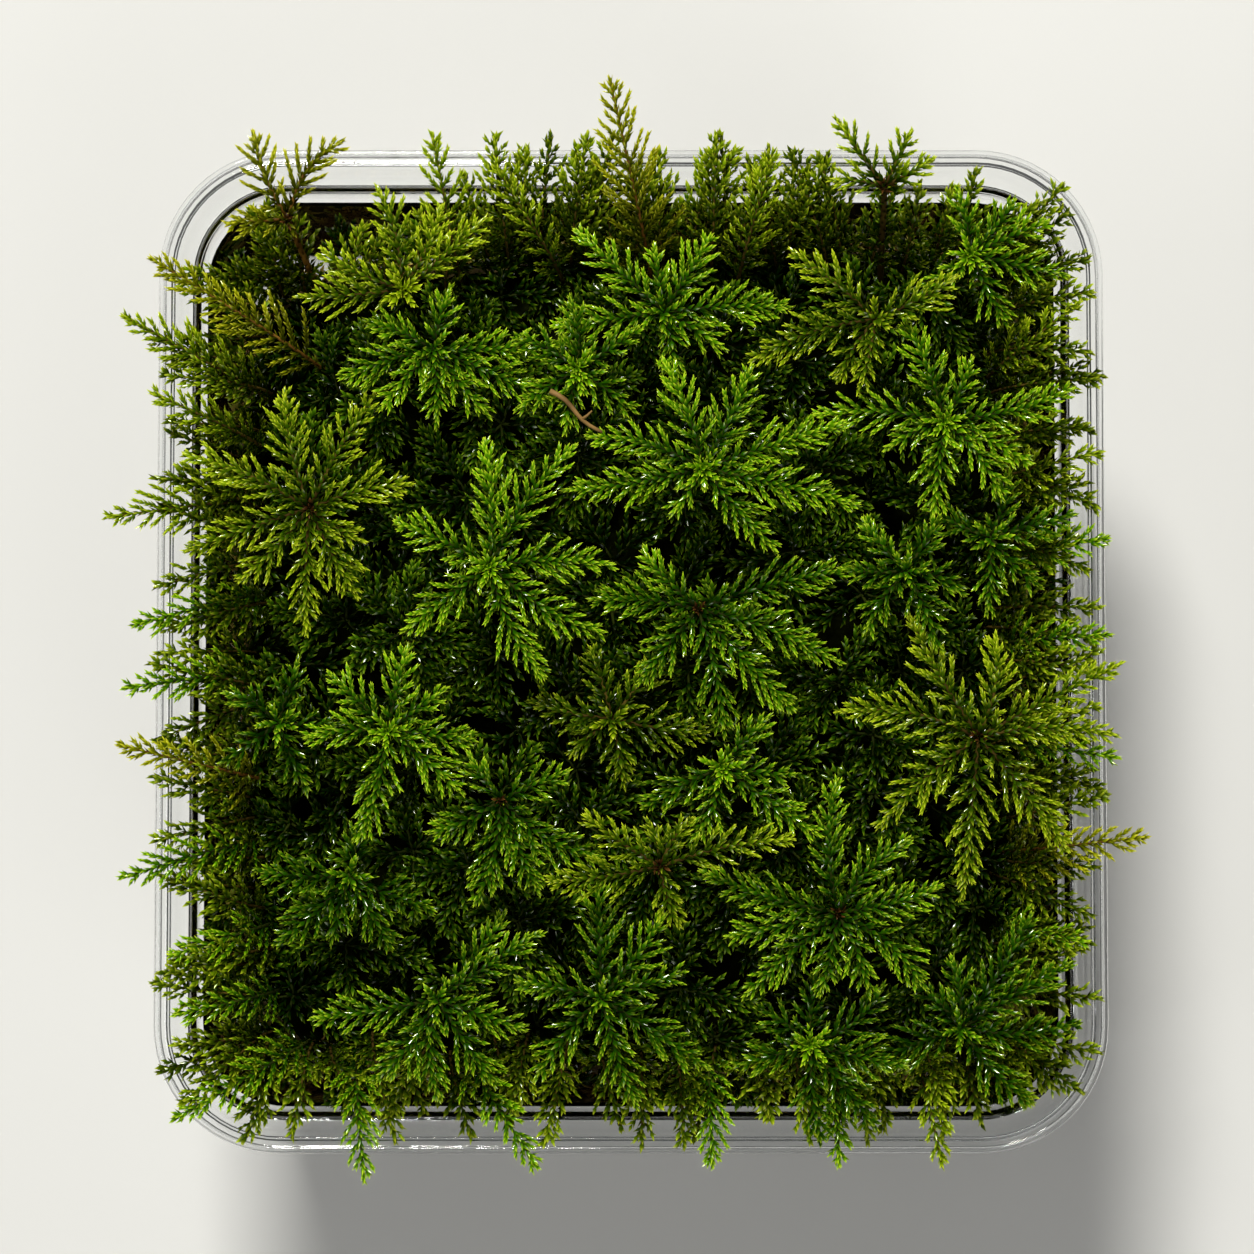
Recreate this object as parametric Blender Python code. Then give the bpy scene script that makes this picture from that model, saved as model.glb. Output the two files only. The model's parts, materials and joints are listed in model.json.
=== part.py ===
"""A moss clump in its clear tray: the tray, the old growth that fills it, and the shoots on top of that.

The frame has +Z up and its origin in the middle of the tray's flat underside, with +Y towards the back.
All sizes below are in millimetres, and every mesh is made in metres.
"""

import math
from dataclasses import dataclass
from itertools import product

import bmesh
import bpy
import numpy as np
from mathutils import Vector
from mathutils.bvhtree import BVHTree

MM = 0.001

# The tray: thermoformed clear plastic with a rolled, stepped rim.
TRAY_WIDTH = 120.0
TRAY_LENGTH = 127.0
TRAY_HEIGHT = 55.0
TRAY_WALL = 0.6
TRAY_CORNER_RADIUS = 16.0
LEAST_CORNER_RADIUS = 3.5
CORNER_STEPS = 5
LEAST_MITRE_COSINE = 0.75
# The rim and wall from the skirt's lower edge, over the rim and down to the floor:
# how far in from the outer edge, and how far below the rim's top.
TRAY_PROFILE = (
    (0.0, 2.6),
    (0.0, 0.45),
    (0.45, 0.0),
    (1.1, 0.4),
    (1.8, 0.05),
    (2.3, 0.5),
    (3.6, 3.2),
    (4.3, 3.5),
    (5.0, 8.0),
    (5.6, 8.4),
    (8.6, 51.6),
    (9.6, 53.6),
    (11.5, 54.4),
)

# The old growth: the dense brown cushion under the shoots.
MAT_GAP = 0.4
MAT_SIDES = 40
# Its side, from the foot to the shoulder: height, and how far in from the tray's outer edge.
MAT_SIDE_PROFILE = ((1.0, 13.5), (5.0, 10.6), (24.0, 9.4), (38.0, 8.6), (44.0, 8.3))
MAT_SHOULDER_HEIGHT = 47.5
MAT_SHOULDER_INSET = 9.6
MAT_DOME_RISE = 10.5
MAT_TOP_RINGS = (0.86, 0.68, 0.46, 0.24)
MAT_BACK_RECESS = 1.6
# Towards the back left corner the cushion has a hollow, which bares the tray's wall.
MAT_HOLLOW_DEPTH = 3.6
MAT_HOLLOW_BEARING = math.radians(121.0)
MAT_HOLLOW_SHARPNESS = 16
MAT_LUMP = 0.7
MAT_SQUARENESS = 9.0
MAT_DOME_POWER = 2.4

# The shoots.
CROWN_OVER_RIM = 5.5
FROND_OVER_RIM = 4.5
CROWN_DOME_RISE = 9.0
STEM_RADIUS = 0.75
FOOT_RADIUS = 2 * STEM_RADIUS
FOOT_PULL = 0.98
HIGH_ABOVE = Vector((0, 0, 2 * TRAY_HEIGHT))
LEAST_STEM = 4.0
BURIED_STEM = 3.0
HUB_RADIUS = 1.7
VALLEY_RADIUS = 1.35
HUB_TOP = 1.6
HUB_UNDERSIDE = 1.2
ARM_ARCH = 0.24
# Each cross-section of a branch: how far along it, half its width and half its thickness.
ARM_SECTIONS = ((0.40, 2.9, 0.95), (0.70, 2.2, 0.8))
# The room that a branch needs: how far along it, and half its width with its leaves.
ARM_ROOM = ((0.05, 1.2), (0.2, 2.0), (0.36, 2.9), (0.52, 3.1), (0.68, 2.8), (0.84, 1.7), (1.0, 0.4))
ARM_SECTOR_SHARE = 0.82
FROND_SECTIONS = (0.30, 0.46, 0.60, 0.73, 0.85, 0.94)
FROND_AXIS_HALF_WIDTH = 0.85
FROND_AXIS_HALF_THICKNESS = 0.6
FROND_AXIS_TAPER = 0.55
FROND_BRANCH_LENGTH = 4.3
FROND_BRANCH_LEAN = math.radians(48.0)
FROND_BRANCH_DROP = 0.12
FROND_BRANCH_HALF_THICKNESS = 0.3
# A frond's axis bends twice: how steeply it leaves the foot, and how flat it comes to the tip.
FROND_RISE = 1.15
FROND_SHOULDER_OUT = 0.02
FROND_NECK_BACK = 0.5
FROND_NECK_LIFT = 0.6
FROND_BARE_SHARE = 0.14
FROND_ROOM_STEPS = 12
AHEAD = 0.03
# Room that the blades keep: they are this many times as wide as they are thick.
FLATNESS = 3.3
CLEARANCE = 0.5
RIM_INNER_INSET = 6.6
HEIGHT_TRIES = (0.0, 1.6, -1.6, 3.2, -3.0, 4.8)
DROOP_TRIES = (0.16, 0.06, 0.27, -0.05, 0.38, -0.16)
TURN_TRIES = (0, 6, -6, 12, -12)
LENGTH_TRIES = (1.0, 0.92, 0.84, 0.74, 0.62, 0.5)
HEIGHT_SHIFT_COST = 0.04
LIFT_TRIES = (0.0, 1.5, -1.2, 3.0, 4.5, 6.5, 8.5)


@dataclass(frozen=True)
class Star:
    """A shoot that spreads its branches, each (bearing, length), from one crown over a foot that may lean."""

    x: float
    y: float
    tint: str
    lift: float
    arms: tuple
    lean: tuple = (0.0, 0.0)


@dataclass(frozen=True)
class Frond:
    """A shoot at the clump's edge that leans out over the rim, from its foot to its tip.

    Spread is how long its side branches are, as a share of the usual length.
    """

    foot: tuple
    tip: tuple
    tint: str
    lift: float
    spread: float = 1.0


STARS = (
    Star(8.8, 21.0, "green", 3.0, (
        (109, 14.5), (65, 14.5), (19, 18.5), (-12, 19.5), (-48, 13.5), (-125, 7), (188, 17.5), (163, 15),
    )),
    Star(-17.2, 9.0, "green", 3.0, (
        (93, 16), (56, 18.5), (2, 15), (-30, 16), (-64, 15), (216, 13.5), (154, 13),
    )),
    Star(-39.5, 16.4, "olive", 3.0, (
        (103, 15.5), (62, 16.5), (15, 13), (-31, 8), (-62, 12.5), (-92, 15.5), (225, 12.5), (198, 16.5),
        (156, 17.5),
    )),
    Star(38.6, 27.2, "green", 3.0, (
        (110, 14), (66, 9), (15, 17), (-25, 12), (-52, 12), (-97, 12), (-156, 8), (175, 16),
    )),
    Star(42.5, -11.6, "olive", 3.4, (
        (119, 17), (79, 13), (27, 20.5), (1, 17.5), (-51, 18), (-95, 20), (222, 16.5), (169, 17.5),
    )),
    Star(-29.6, -10.9, "green", 2.4, (
        (136, 10.5), (78, 11), (37, 9), (-6, 10.5), (-40, 12), (-106, 14), (184, 10.5),
    )),
    Star(25.2, -33.1, "green", 2.2, (
        (90, 16.5), (46, 13), (14, 13.5), (-40, 14.5), (-68, 11), (-102, 10.5), (222, 15.5), (192, 14),
        (163, 17.5),
    )),
    Star(-3.7, -43.5, "green", 2.0, (
        (92, 15.5), (52, 13), (17, 11), (-33, 16), (-72, 14.5), (231, 13), (169, 10.5),
    )),
    Star(-23.7, -43.7, "green", 2.0, (
        (52, 13.5), (22, 15), (-20, 11.5), (-57, 13), (-90, 12.5), (232, 13), (189, 16),
    )),
    Star(8.2, 4.0, "green", 0.0, (
        (15, 20), (-20, 19), (-46, 17), (-78, 16), (231, 12), (174, 13.5), (133, 10),
    )),
    Star(-24.4, 36.3, "green", 1.2, (
        (76, 8.5), (2, 16), (-22, 16), (-50, 11), (-88, 9.5), (224, 10), (198, 12), (155, 9.5),
    )),
    Star(-42.6, 52.6, "amber", 4.0, ((112, 12.5), (58, 12.5), (182, 8)), (3.4, -8.6)),
    Star(-28.2, 43.6, "olive", 2.8, ((104, 14), (66, 12), (31, 14), (152, 12), (184, 13))),
    Star(4.1, 40.7, "green", 2.0, (
        (98, 9), (60, 11.5), (4, 16), (-30, 9), (-84, 9), (187, 14), (136, 15.5),
    )),
    Star(31.4, 56.4, "olive", 5.0, ((123, 11), (65, 8.5), (32, 7.5), (170, 7)), (0.6, -9.6)),
    Star(30.2, 39.9, "olive", 1.6, ((28, 11.5), (-92, 9.5), (-122, 9), (197, 16), (139, 14))),
    Star(42.4, 48.6, "green", 1.0, (
        (100, 9), (52, 9.5), (25, 11), (-10, 12.5), (-62, 10), (218, 8),
    ), (-1.6, -3.4)),
    Star(44.6, 13.2, "green", 0.6, ((72, 9), (16, 11.5), (-44, 9), (-92, 9.5), (150, 9))),
    Star(33.6, 8.6, "green", -0.6, ((128, 8.5), (58, 8), (-20, 8), (-69, 10.5), (236, 9), (178, 8))),
    Star(-15.8, -19.4, "green", 0.8, ((125, 7), (24, 9), (-30, 14.5), (-68, 12.5), (-104, 13), (204, 10))),
    Star(-2.3, -9.4, "olive", -1.0, ((167, 10.5), (107, 9.5), (52, 10), (-8, 12), (-80, 8.5), (220, 7))),
    Star(11.1, -15.4, "green", 0.6, ((48, 8.5), (-6, 9), (-35, 14.5), (-110, 9.5), (207, 11))),
    Star(3.5, -27.4, "olive", -0.6, ((12, 16.5), (58, 7), (104, 6), (158, 11), (188, 13.5), (-72, 8))),
    Star(-34.6, -28.6, "green", 1.2, ((80, 8), (177, 12), (222, 13), (-106, 9), (-61, 10.5), (-22, 11))),
    Star(40.6, -47.4, "green", 1.2, (
        (57, 17), (30, 16.5), (2, 15), (-46, 13), (202, 12), (134, 8), (96, 9),
    )),
    Star(22.0, -49.4, "green", 0.6, (
        (84, 9.5), (38, 12), (-6, 12), (-52, 13.5), (-84, 12.5), (196, 9.5), (145, 8),
    )),
    Star(-43.6, -9.8, "green", -0.8, ((150, 8), (74, 8.5), (0, 8), (-66, 9), (214, 9))),
    Star(-6.6, 33.4, "green", -0.5, ((152, 9), (95, 9), (35, 9), (-35, 9), (-95, 8), (212, 9))),
)

FRONDS = (
    Frond((-38.5, 35.0), (-60.3, 48.6), "amber", 2.0, 1.3),
    Frond((-46.0, 31.6), (-64.0, 41.5), "olive", 1.0, 1.3),
    Frond((-46.8, 25.6), (-60.0, 31.5), "olive", 0.0),
    Frond((-46.8, 18.6), (-66.0, 16.0), "olive", 0.4, 1.3),
    Frond((-46.8, 6.8), (-62.6, 2.4), "green", 0.0),
    Frond((-46.8, -3.0), (-63.6, -5.4), "green", 0.4),
    Frond((-46.4, -16.6), (-64.0, -12.4), "amber", 1.4, 1.2),
    Frond((-46.6, -24.0), (-63.6, -29.0), "green", 0.8, 1.2),
    Frond((-45.4, -34.8), (-57.6, -38.8), "green", 0.0),
    Frond((-44.4, -43.2), (-57.0, -46.0), "green", 0.4),
    Frond((-40.6, -49.6), (-57.0, -59.0), "green", 0.8, 1.3),
    Frond((-21.6, 46.6), (-25.0, 64.6), "olive", 1.6, 1.4),
    Frond((-8.6, 46.8), (-17.6, 61.2), "olive", 0.6),
    Frond((2.6, 46.8), (-2.7, 71.0), "amber", 4.0, 1.6),
    Frond((13.6, 46.8), (18.0, 62.6), "olive", 0.6),
    Frond((45.4, 34.6), (56.4, 43.2), "olive", 0.4),
    Frond((46.6, 21.4), (59.2, 24.4), "olive", 0.4),
    Frond((46.8, 11.4), (60.0, 13.6), "green", 0.0),
    Frond((46.8, 0.6), (60.2, 1.4), "green", 0.0),
    Frond((46.8, -12.0), (61.0, -14.0), "green", 0.0),
    Frond((46.8, -25.8), (64.4, -23.8), "amber", 0.6, 1.2),
    Frond((46.2, -35.0), (56.8, -36.8), "green", 0.0),
    Frond((-34.4, -50.4), (-33.0, -66.6), "green", 0.8),
    Frond((-20.6, -51.0), (-11.4, -65.0), "green", 0.4),
    Frond((9.6, -51.0), (10.1, -65.0), "green", 0.2),
    Frond((25.0, -51.0), (25.8, -64.8), "green", 0.2),
    Frond((35.6, -51.0), (38.6, -64.8), "olive", 0.2),
)

TINTS = {
    "green": (0.10, 0.26, 0.02, 1.0),
    "olive": (0.23, 0.30, 0.03, 1.0),
    "amber": (0.25, 0.20, 0.03, 1.0),
}


def clear_scene():
    """Removes every object, so that the part starts from nothing."""
    for obj in list(bpy.data.objects):
        bpy.data.objects.remove(obj, do_unlink=True)


def finish_material(name, color, roughness, alpha=1.0):
    """A Principled material with one colour."""
    material = bpy.data.materials.new(name)
    material.use_nodes = True
    surface = material.node_tree.nodes["Principled BSDF"]
    surface.inputs["Base Color"].default_value = color
    surface.inputs["Roughness"].default_value = roughness
    surface.inputs["Metallic"].default_value = 0.0
    surface.inputs["Alpha"].default_value = alpha
    return material


def add_object(name, bm, material, smooth_angle=None):
    """Puts a bmesh, in millimetres, in the scene as one named object in metres."""
    bmesh.ops.scale(bm, vec=(MM, MM, MM), verts=bm.verts)
    bmesh.ops.recalc_face_normals(bm, faces=bm.faces)
    mesh = bpy.data.meshes.new(name)
    bm.to_mesh(mesh)
    bm.free()
    mesh.materials.append(material)
    if smooth_angle is not None:
        mesh.shade_smooth()
        mesh.set_sharp_from_angle(angle=smooth_angle)
    obj = bpy.data.objects.new(name, mesh)
    bpy.context.scene.collection.objects.link(obj)
    return obj


def tray_outline(inset, z):
    """A ring round the tray, this far in from its outer edge: a rectangle with round corners."""
    radius = max(TRAY_CORNER_RADIUS - inset, LEAST_CORNER_RADIUS)
    half_x = TRAY_WIDTH / 2 - inset - radius
    half_y = TRAY_LENGTH / 2 - inset - radius
    points = []
    for quarter, (sx, sy) in enumerate(((1, 1), (-1, 1), (-1, -1), (1, -1))):
        for step in range(CORNER_STEPS + 1):
            angle = math.radians(90 * (quarter + step / CORNER_STEPS))
            x = sx * half_x + radius * math.cos(angle)
            y = sy * half_y + radius * math.sin(angle)
            points.append(Vector((x, y, z)))
    return points


def offset_outwards(profile, distance):
    """The same profile moved to its lower and outer side by a wall's thickness, with mitred bends."""
    points = [Vector(p) for p in profile]
    moved = []
    for i, point in enumerate(points):
        before = points[max(i - 1, 0)]
        after = points[min(i + 1, len(points) - 1)]
        along = (after - before).normalized()
        normal = Vector((-along.y, along.x))
        edge = (point - before).normalized() if i else along
        stretch = 1 / max(LEAST_MITRE_COSINE, normal.dot(Vector((-edge.y, edge.x))))
        moved.append(point + normal * distance * stretch)
    return moved


def loft(bm, rings, cap_first=True, cap_last=True):
    """Joins rings of points, all with as many points, with faces, and closes the two ends."""
    made = [[bm.verts.new(point) for point in ring] for ring in rings]
    count = len(made[0])
    for lower, upper in zip(made, made[1:]):
        for i in range(count):
            j = (i + 1) % count
            bm.faces.new((lower[i], lower[j], upper[j], upper[i]))
    if cap_first:
        bm.faces.new(made[0][::-1])
    if cap_last:
        bm.faces.new(made[-1])
    return made


def build_tray(material):
    """The clear tray: one skin that runs over the rim, down the wall, across the floor and back outside."""
    inside = [Vector(p) for p in TRAY_PROFILE]
    outside = offset_outwards(TRAY_PROFILE, TRAY_WALL)
    outside[0] = Vector((TRAY_WALL, TRAY_PROFILE[0][1]))
    outside[-1] = Vector((inside[-1].x, TRAY_HEIGHT))
    rings = [tray_outline(p.x, TRAY_HEIGHT - p.y) for p in reversed(outside)]
    rings += [tray_outline(p.x, TRAY_HEIGHT - p.y) for p in inside]
    bm = bmesh.new()
    loft(bm, rings)
    return add_object("clear_tray", bm, material, math.radians(50))


def mat_ring(inset, height_at, upper_share):
    """A ring of the cushion's side. It draws back from the tray along the back, where it stands lower."""
    ring = []
    half_x = TRAY_WIDTH / 2 - inset
    half_y = TRAY_LENGTH / 2 - inset
    for i in range(MAT_SIDES):
        angle = 2 * math.pi * (i + 0.5) / MAT_SIDES
        # A squared circle follows the tray's round corners.
        powers = abs(math.cos(angle)) ** MAT_SQUARENESS + abs(math.sin(angle)) ** MAT_SQUARENESS
        squareness = powers ** (-1 / MAT_SQUARENESS)
        recess = max(0.0, math.sin(angle)) ** 2 * MAT_BACK_RECESS
        hollow = max(0.0, math.cos(angle - MAT_HOLLOW_BEARING)) ** MAT_HOLLOW_SHARPNESS * MAT_HOLLOW_DEPTH
        lump = MAT_LUMP * upper_share * (1 + math.sin(5 * angle + 1.1) * math.cos(3 * angle))
        x = (half_x - lump) * squareness * math.cos(angle)
        y = (half_y - lump) * squareness * math.sin(angle) - (recess + hollow) * squareness * upper_share
        ring.append(Vector((x, y, height_at(x, y))))
    return ring


def mat_height(x, y):
    """How high the top of the old growth stands at a place."""
    across = min(1.0, abs(x) / (TRAY_WIDTH / 2 - MAT_SHOULDER_INSET))
    along = min(1.0, abs(y) / (TRAY_LENGTH / 2 - MAT_SHOULDER_INSET))
    dome = (1 - across**MAT_DOME_POWER) * (1 - along**MAT_DOME_POWER)
    lumps = math.sin(0.21 * x + 0.6) * math.cos(0.17 * y - 0.4) + math.sin(0.13 * x - 0.19 * y)
    return MAT_SHOULDER_HEIGHT + MAT_DOME_RISE * dome + MAT_LUMP * lumps * dome


def build_mat(material):
    """The old growth as one closed cushion with a domed, lumpy top."""
    rings = []
    for height, inset in MAT_SIDE_PROFILE:
        share = height / MAT_SHOULDER_HEIGHT
        rings.append(mat_ring(inset, lambda x, y, z=height: z, share))
    shoulder = mat_ring(MAT_SHOULDER_INSET, mat_height, 1.0)
    rings.append(shoulder)
    middle = sum(shoulder, Vector()) / len(shoulder)
    for share in MAT_TOP_RINGS:
        flat = [middle.lerp(point, share) for point in shoulder]
        rings.append([Vector((p.x, p.y, mat_height(p.x, p.y))) for p in flat])
    bm = bmesh.new()
    made = loft(bm, rings, cap_last=False)
    peak = bm.verts.new((middle.x, middle.y, mat_height(middle.x, middle.y)))
    last = made[-1]
    for i, vert in enumerate(last):
        bm.faces.new((vert, last[(i + 1) % len(last)], peak))
    return add_object("old_growth", bm, material)


def way(bearing):
    """The level direction of a bearing in degrees, from +X towards +Y."""
    angle = math.radians(bearing)
    return Vector((math.cos(angle), math.sin(angle), 0.0))


class Clump:
    """What already stands in the tray, so that each new blade grows where there is room."""

    def __init__(self, mat):
        """Starts with the old growth alone."""
        self.points = np.zeros((0, 3))
        self.radii = np.zeros(0)
        corners = [vertex.co / MM for vertex in mat.data.vertices]
        faces = [tuple(polygon.vertices) for polygon in mat.data.polygons]
        self.ground = BVHTree.FromPolygons(corners, faces)

    def plant(self, x, y):
        """The foot of a shoot: on the old growth, moved in from its edge as far as it has to be."""
        place = Vector((x, y, 0))
        while True:
            starts = [place + way(bearing) * FOOT_RADIUS for bearing in range(0, 360, 45)]
            hits = [self.ground.ray_cast(s + HIGH_ABOVE, -HIGH_ABOVE.normalized())[0] for s in starts]
            if None not in hits:
                return Vector((place.x, place.y, max(hit.z for hit in hits) + MAT_GAP))
            place *= FOOT_PULL

    def has_room(self, path, radii):
        """True if a blade along path keeps off the rim, the old growth and the blades that are there."""
        half_x = TRAY_WIDTH / 2 - RIM_INNER_INSET
        half_y = TRAY_LENGTH / 2 - RIM_INNER_INSET
        for point, radius in zip(path, radii):
            thickness = radius / FLATNESS + CLEARANCE
            over_wall = abs(point.x) + radius > half_x or abs(point.y) + radius > half_y
            if over_wall and point.z < TRAY_HEIGHT + thickness:
                return False
            if point.z < mat_height(point.x, point.y) + thickness + CLEARANCE:
                return False
        if not len(self.points):
            return True
        stretched = np.array([(p.x, p.y, p.z * FLATNESS) for p in path])
        apart = np.linalg.norm(stretched[:, None] - self.points[None], axis=2)
        return bool((apart - np.array(radii)[:, None] - self.radii[None] > CLEARANCE).all())

    def take(self, path, radii):
        """Marks the room along path as taken."""
        stretched = np.array([(p.x, p.y, p.z * FLATNESS) for p in path])
        self.points = np.concatenate([self.points, stretched])
        self.radii = np.concatenate([self.radii, radii])


def arm_point(crown, direction, length, droop, share):
    """A place on a branch of a star: it arches up a little and then droops."""
    out = HUB_RADIUS + (length - HUB_RADIUS) * share
    rise = length * (ARM_ARCH * share - (ARM_ARCH + droop) * share**2)
    return crown + direction * out + Vector((0, 0, rise))


def arm_room(crown, direction, length, droop):
    """Places along a branch and how wide it is there, for finding room."""
    path = [arm_point(crown, direction, length, droop, share) for share, _ in ARM_ROOM]
    return path, np.array([radius for _, radius in ARM_ROOM])


def stem_room(foot, crown):
    """Places down a stem, close together because room is measured stretched in height."""
    count = math.ceil((crown.z - foot.z) / STEM_RADIUS)
    path = [foot.lerp(crown, (i + 0.5) / count) for i in range(count)]
    return path, np.full(count, STEM_RADIUS + CLEARANCE / 2)


def settle_star(star, clump):
    """Finds the height at which a star's branches keep most of their length: (foot, crown, branches)."""
    best = None
    foot = clump.plant(star.x + star.lean[0], star.y + star.lean[1])
    across = 1 - (star.x / TRAY_WIDTH * 2) ** 2
    along = 1 - (star.y / TRAY_LENGTH * 2) ** 2
    level = TRAY_HEIGHT + CROWN_OVER_RIM + CROWN_DOME_RISE * across * along + star.lift
    for shift in HEIGHT_TRIES:
        crown = Vector((star.x, star.y, level + shift))
        stem_room_needed = stem_room(foot + Vector((0, 0, BURIED_STEM)), crown)
        if crown.z < foot.z + LEAST_STEM or not clump.has_room(*stem_room_needed):
            continue
        arms, total = [], 0.0
        for bearing, length in star.arms:
            found = grow_arm(crown, bearing, length, clump)
            if found:
                arms.append(found)
                total += found[1] / length
        score = total - HEIGHT_SHIFT_COST * abs(shift)
        if best is None or score > best[0]:
            best = (score, foot, crown, arms)
    return best


def grow_arm(crown, bearing, length, clump):
    """The longest branch along a bearing that finds room: (bearing, length, droop), or None."""
    for share, turn, droop in product(LENGTH_TRIES, TURN_TRIES, DROOP_TRIES):
        path, radii = arm_room(crown, way(bearing + turn), length * share, droop)
        if clump.has_room(path, radii):
            return bearing + turn, length * share, droop
    return None


def side_gap(arms, index, step):
    """The angle between a branch and its neighbour on one side, in degrees."""
    other = arms[(index + step) % len(arms)][0]
    return (step * (other - arms[index][0])) % 360


def build_star(name, foot, crown, arms, material):
    """A star as one solid: a stem, a hub, and a tapering blade for each branch."""
    arms = sorted((bearing % 360, length, droop) for bearing, length, droop in arms)
    count = len(arms)
    up = Vector((0, 0, 1))
    bm = bmesh.new()
    top = bm.verts.new(crown + up * HUB_TOP)
    valleys, collar, base = [], [], []
    for i in range(count):
        between = way(arms[i][0] + side_gap(arms, i, 1) / 2)
        valleys.append(bm.verts.new(crown + between * VALLEY_RADIUS))
        collar.append(bm.verts.new(crown + between * STEM_RADIUS - up * HUB_UNDERSIDE))
        base.append(bm.verts.new(foot + between * STEM_RADIUS))
    for i, (bearing, length, droop) in enumerate(arms):
        direction = way(bearing)
        aside = Vector((-direction.y, direction.x, 0))
        right, left = valleys[i - 1], valleys[i]
        under_right, under_left = collar[i - 1], collar[i]
        previous = None
        for share, half_width, half_thickness in ARM_SECTIONS:
            middle = arm_point(crown, direction, length, droop, share)
            reach = (middle - crown).to_2d().length
            widths = []
            for step in (1, -1):
                room = reach * math.sin(math.radians(min(side_gap(arms, i, step), 90)) / 2)
                widths.append(min(half_width, ARM_SECTOR_SHARE * room))
            section = (
                bm.verts.new(middle + aside * widths[0]),
                bm.verts.new(middle + up * half_thickness),
                bm.verts.new(middle - aside * widths[1]),
                bm.verts.new(middle - up * half_thickness),
            )
            if previous is None:
                bm.faces.new((left, section[0], section[1], top))
                bm.faces.new((top, section[1], section[2], right))
                bm.faces.new((right, section[2], section[3], under_right))
                bm.faces.new((under_left, section[3], section[0], left))
                bm.faces.new((under_right, section[3], under_left))
            else:
                for k in range(4):
                    n = (k + 1) % 4
                    bm.faces.new((previous[k], section[k], section[n], previous[n]))
            previous = section
        tip = bm.verts.new(arm_point(crown, direction, length, droop, 1.0))
        for k in range(4):
            bm.faces.new((previous[k], tip, previous[(k + 1) % 4]))
    for i in range(count):
        bm.faces.new((collar[i - 1], collar[i], base[i], base[i - 1]))
    bm.faces.new(base)
    return add_object(name, bm, material)


def frond_point(foot, tip, share):
    """A place on a frond's axis, a curve that leaves the foot upright and arches out to the tip."""
    level = Vector((tip.x - foot.x, tip.y - foot.y, 0))
    shoulder = foot + Vector((0, 0, (tip.z - foot.z) * FROND_RISE)) + level * FROND_SHOULDER_OUT
    neck = tip - level * FROND_NECK_BACK + Vector((0, 0, FROND_NECK_LIFT))
    rest = 1 - share
    bends = shoulder * 3 * share * rest**2 + neck * 3 * share**2 * rest
    return foot * rest**3 + bends + tip * share**3


def frond_reach(share):
    """How far the side branches reach at a place along the axis, as a share of the longest."""
    return 0.75 * max(0.0, 1 - share) ** 0.55 + 0.25 * (1 - share)


def frond_room(foot, tip, spread):
    """Places along a frond and how wide it is there with its side branches."""
    shares = np.linspace(FROND_BARE_SHARE, 1, FROND_ROOM_STEPS + 1)
    path = [frond_point(foot, tip, share) for share in shares]
    widest = FROND_BRANCH_LENGTH * spread * math.sin(FROND_BRANCH_LEAN)
    leafy = [share > FROND_SECTIONS[0] for share in shares]
    radii = [FROND_AXIS_HALF_WIDTH + widest * frond_reach(t) * on for t, on in zip(shares, leafy)]
    return path, np.array(radii)


def settle_frond(frond, clump):
    """Finds how high and how long a frond can be: (foot, tip), or None."""
    foot = clump.plant(*frond.foot)
    reach = Vector((frond.tip[0] - foot.x, frond.tip[1] - foot.y, 0))
    for share, lift in product(LENGTH_TRIES, LIFT_TRIES):
        tip = foot + reach * share
        tip.z = TRAY_HEIGHT + FROND_OVER_RIM + frond.lift + lift
        path, radii = frond_room(foot, tip, frond.spread)
        if clump.has_room(path[1:], radii[1:]):
            return foot, tip
    return None


def build_frond(name, foot, tip, spread, material):
    """A frond as one solid: a curved axis with its side branches as spikes, from the foot to the tip."""
    bm = bmesh.new()
    level = Vector((tip.x - foot.x, tip.y - foot.y, 0)).normalized()
    aside = Vector((-level.y, level.x, 0))
    base = [bm.verts.new(foot + offset * STEM_RADIUS) for offset in (aside, -level, -aside, level)]
    bm.faces.new(base[::-1])
    previous, previous_share = base, 0.0
    for share in FROND_SECTIONS:
        middle = frond_point(foot, tip, share)
        ahead = (frond_point(foot, tip, share + AHEAD) - middle).normalized()
        normal = ahead.cross(aside)
        slim = 1 - FROND_AXIS_TAPER * share
        section = [
            bm.verts.new(middle + aside * FROND_AXIS_HALF_WIDTH * slim),
            bm.verts.new(middle + normal * FROND_AXIS_HALF_THICKNESS * slim),
            bm.verts.new(middle - aside * FROND_AXIS_HALF_WIDTH * slim),
            bm.verts.new(middle - normal * FROND_AXIS_HALF_THICKNESS * slim),
        ]
        leafy = previous_share >= FROND_SECTIONS[0]
        reach = FROND_BRANCH_LENGTH * spread * frond_reach(share) if leafy else 0
        for k in (0, 2):
            join_side(bm, previous, section, k, reach)
        previous, previous_share = section, share
    end = bm.verts.new(tip)
    for k in range(4):
        bm.faces.new((previous[k], end, previous[(k + 1) % 4]))
    return add_object(name, bm, material)


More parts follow.
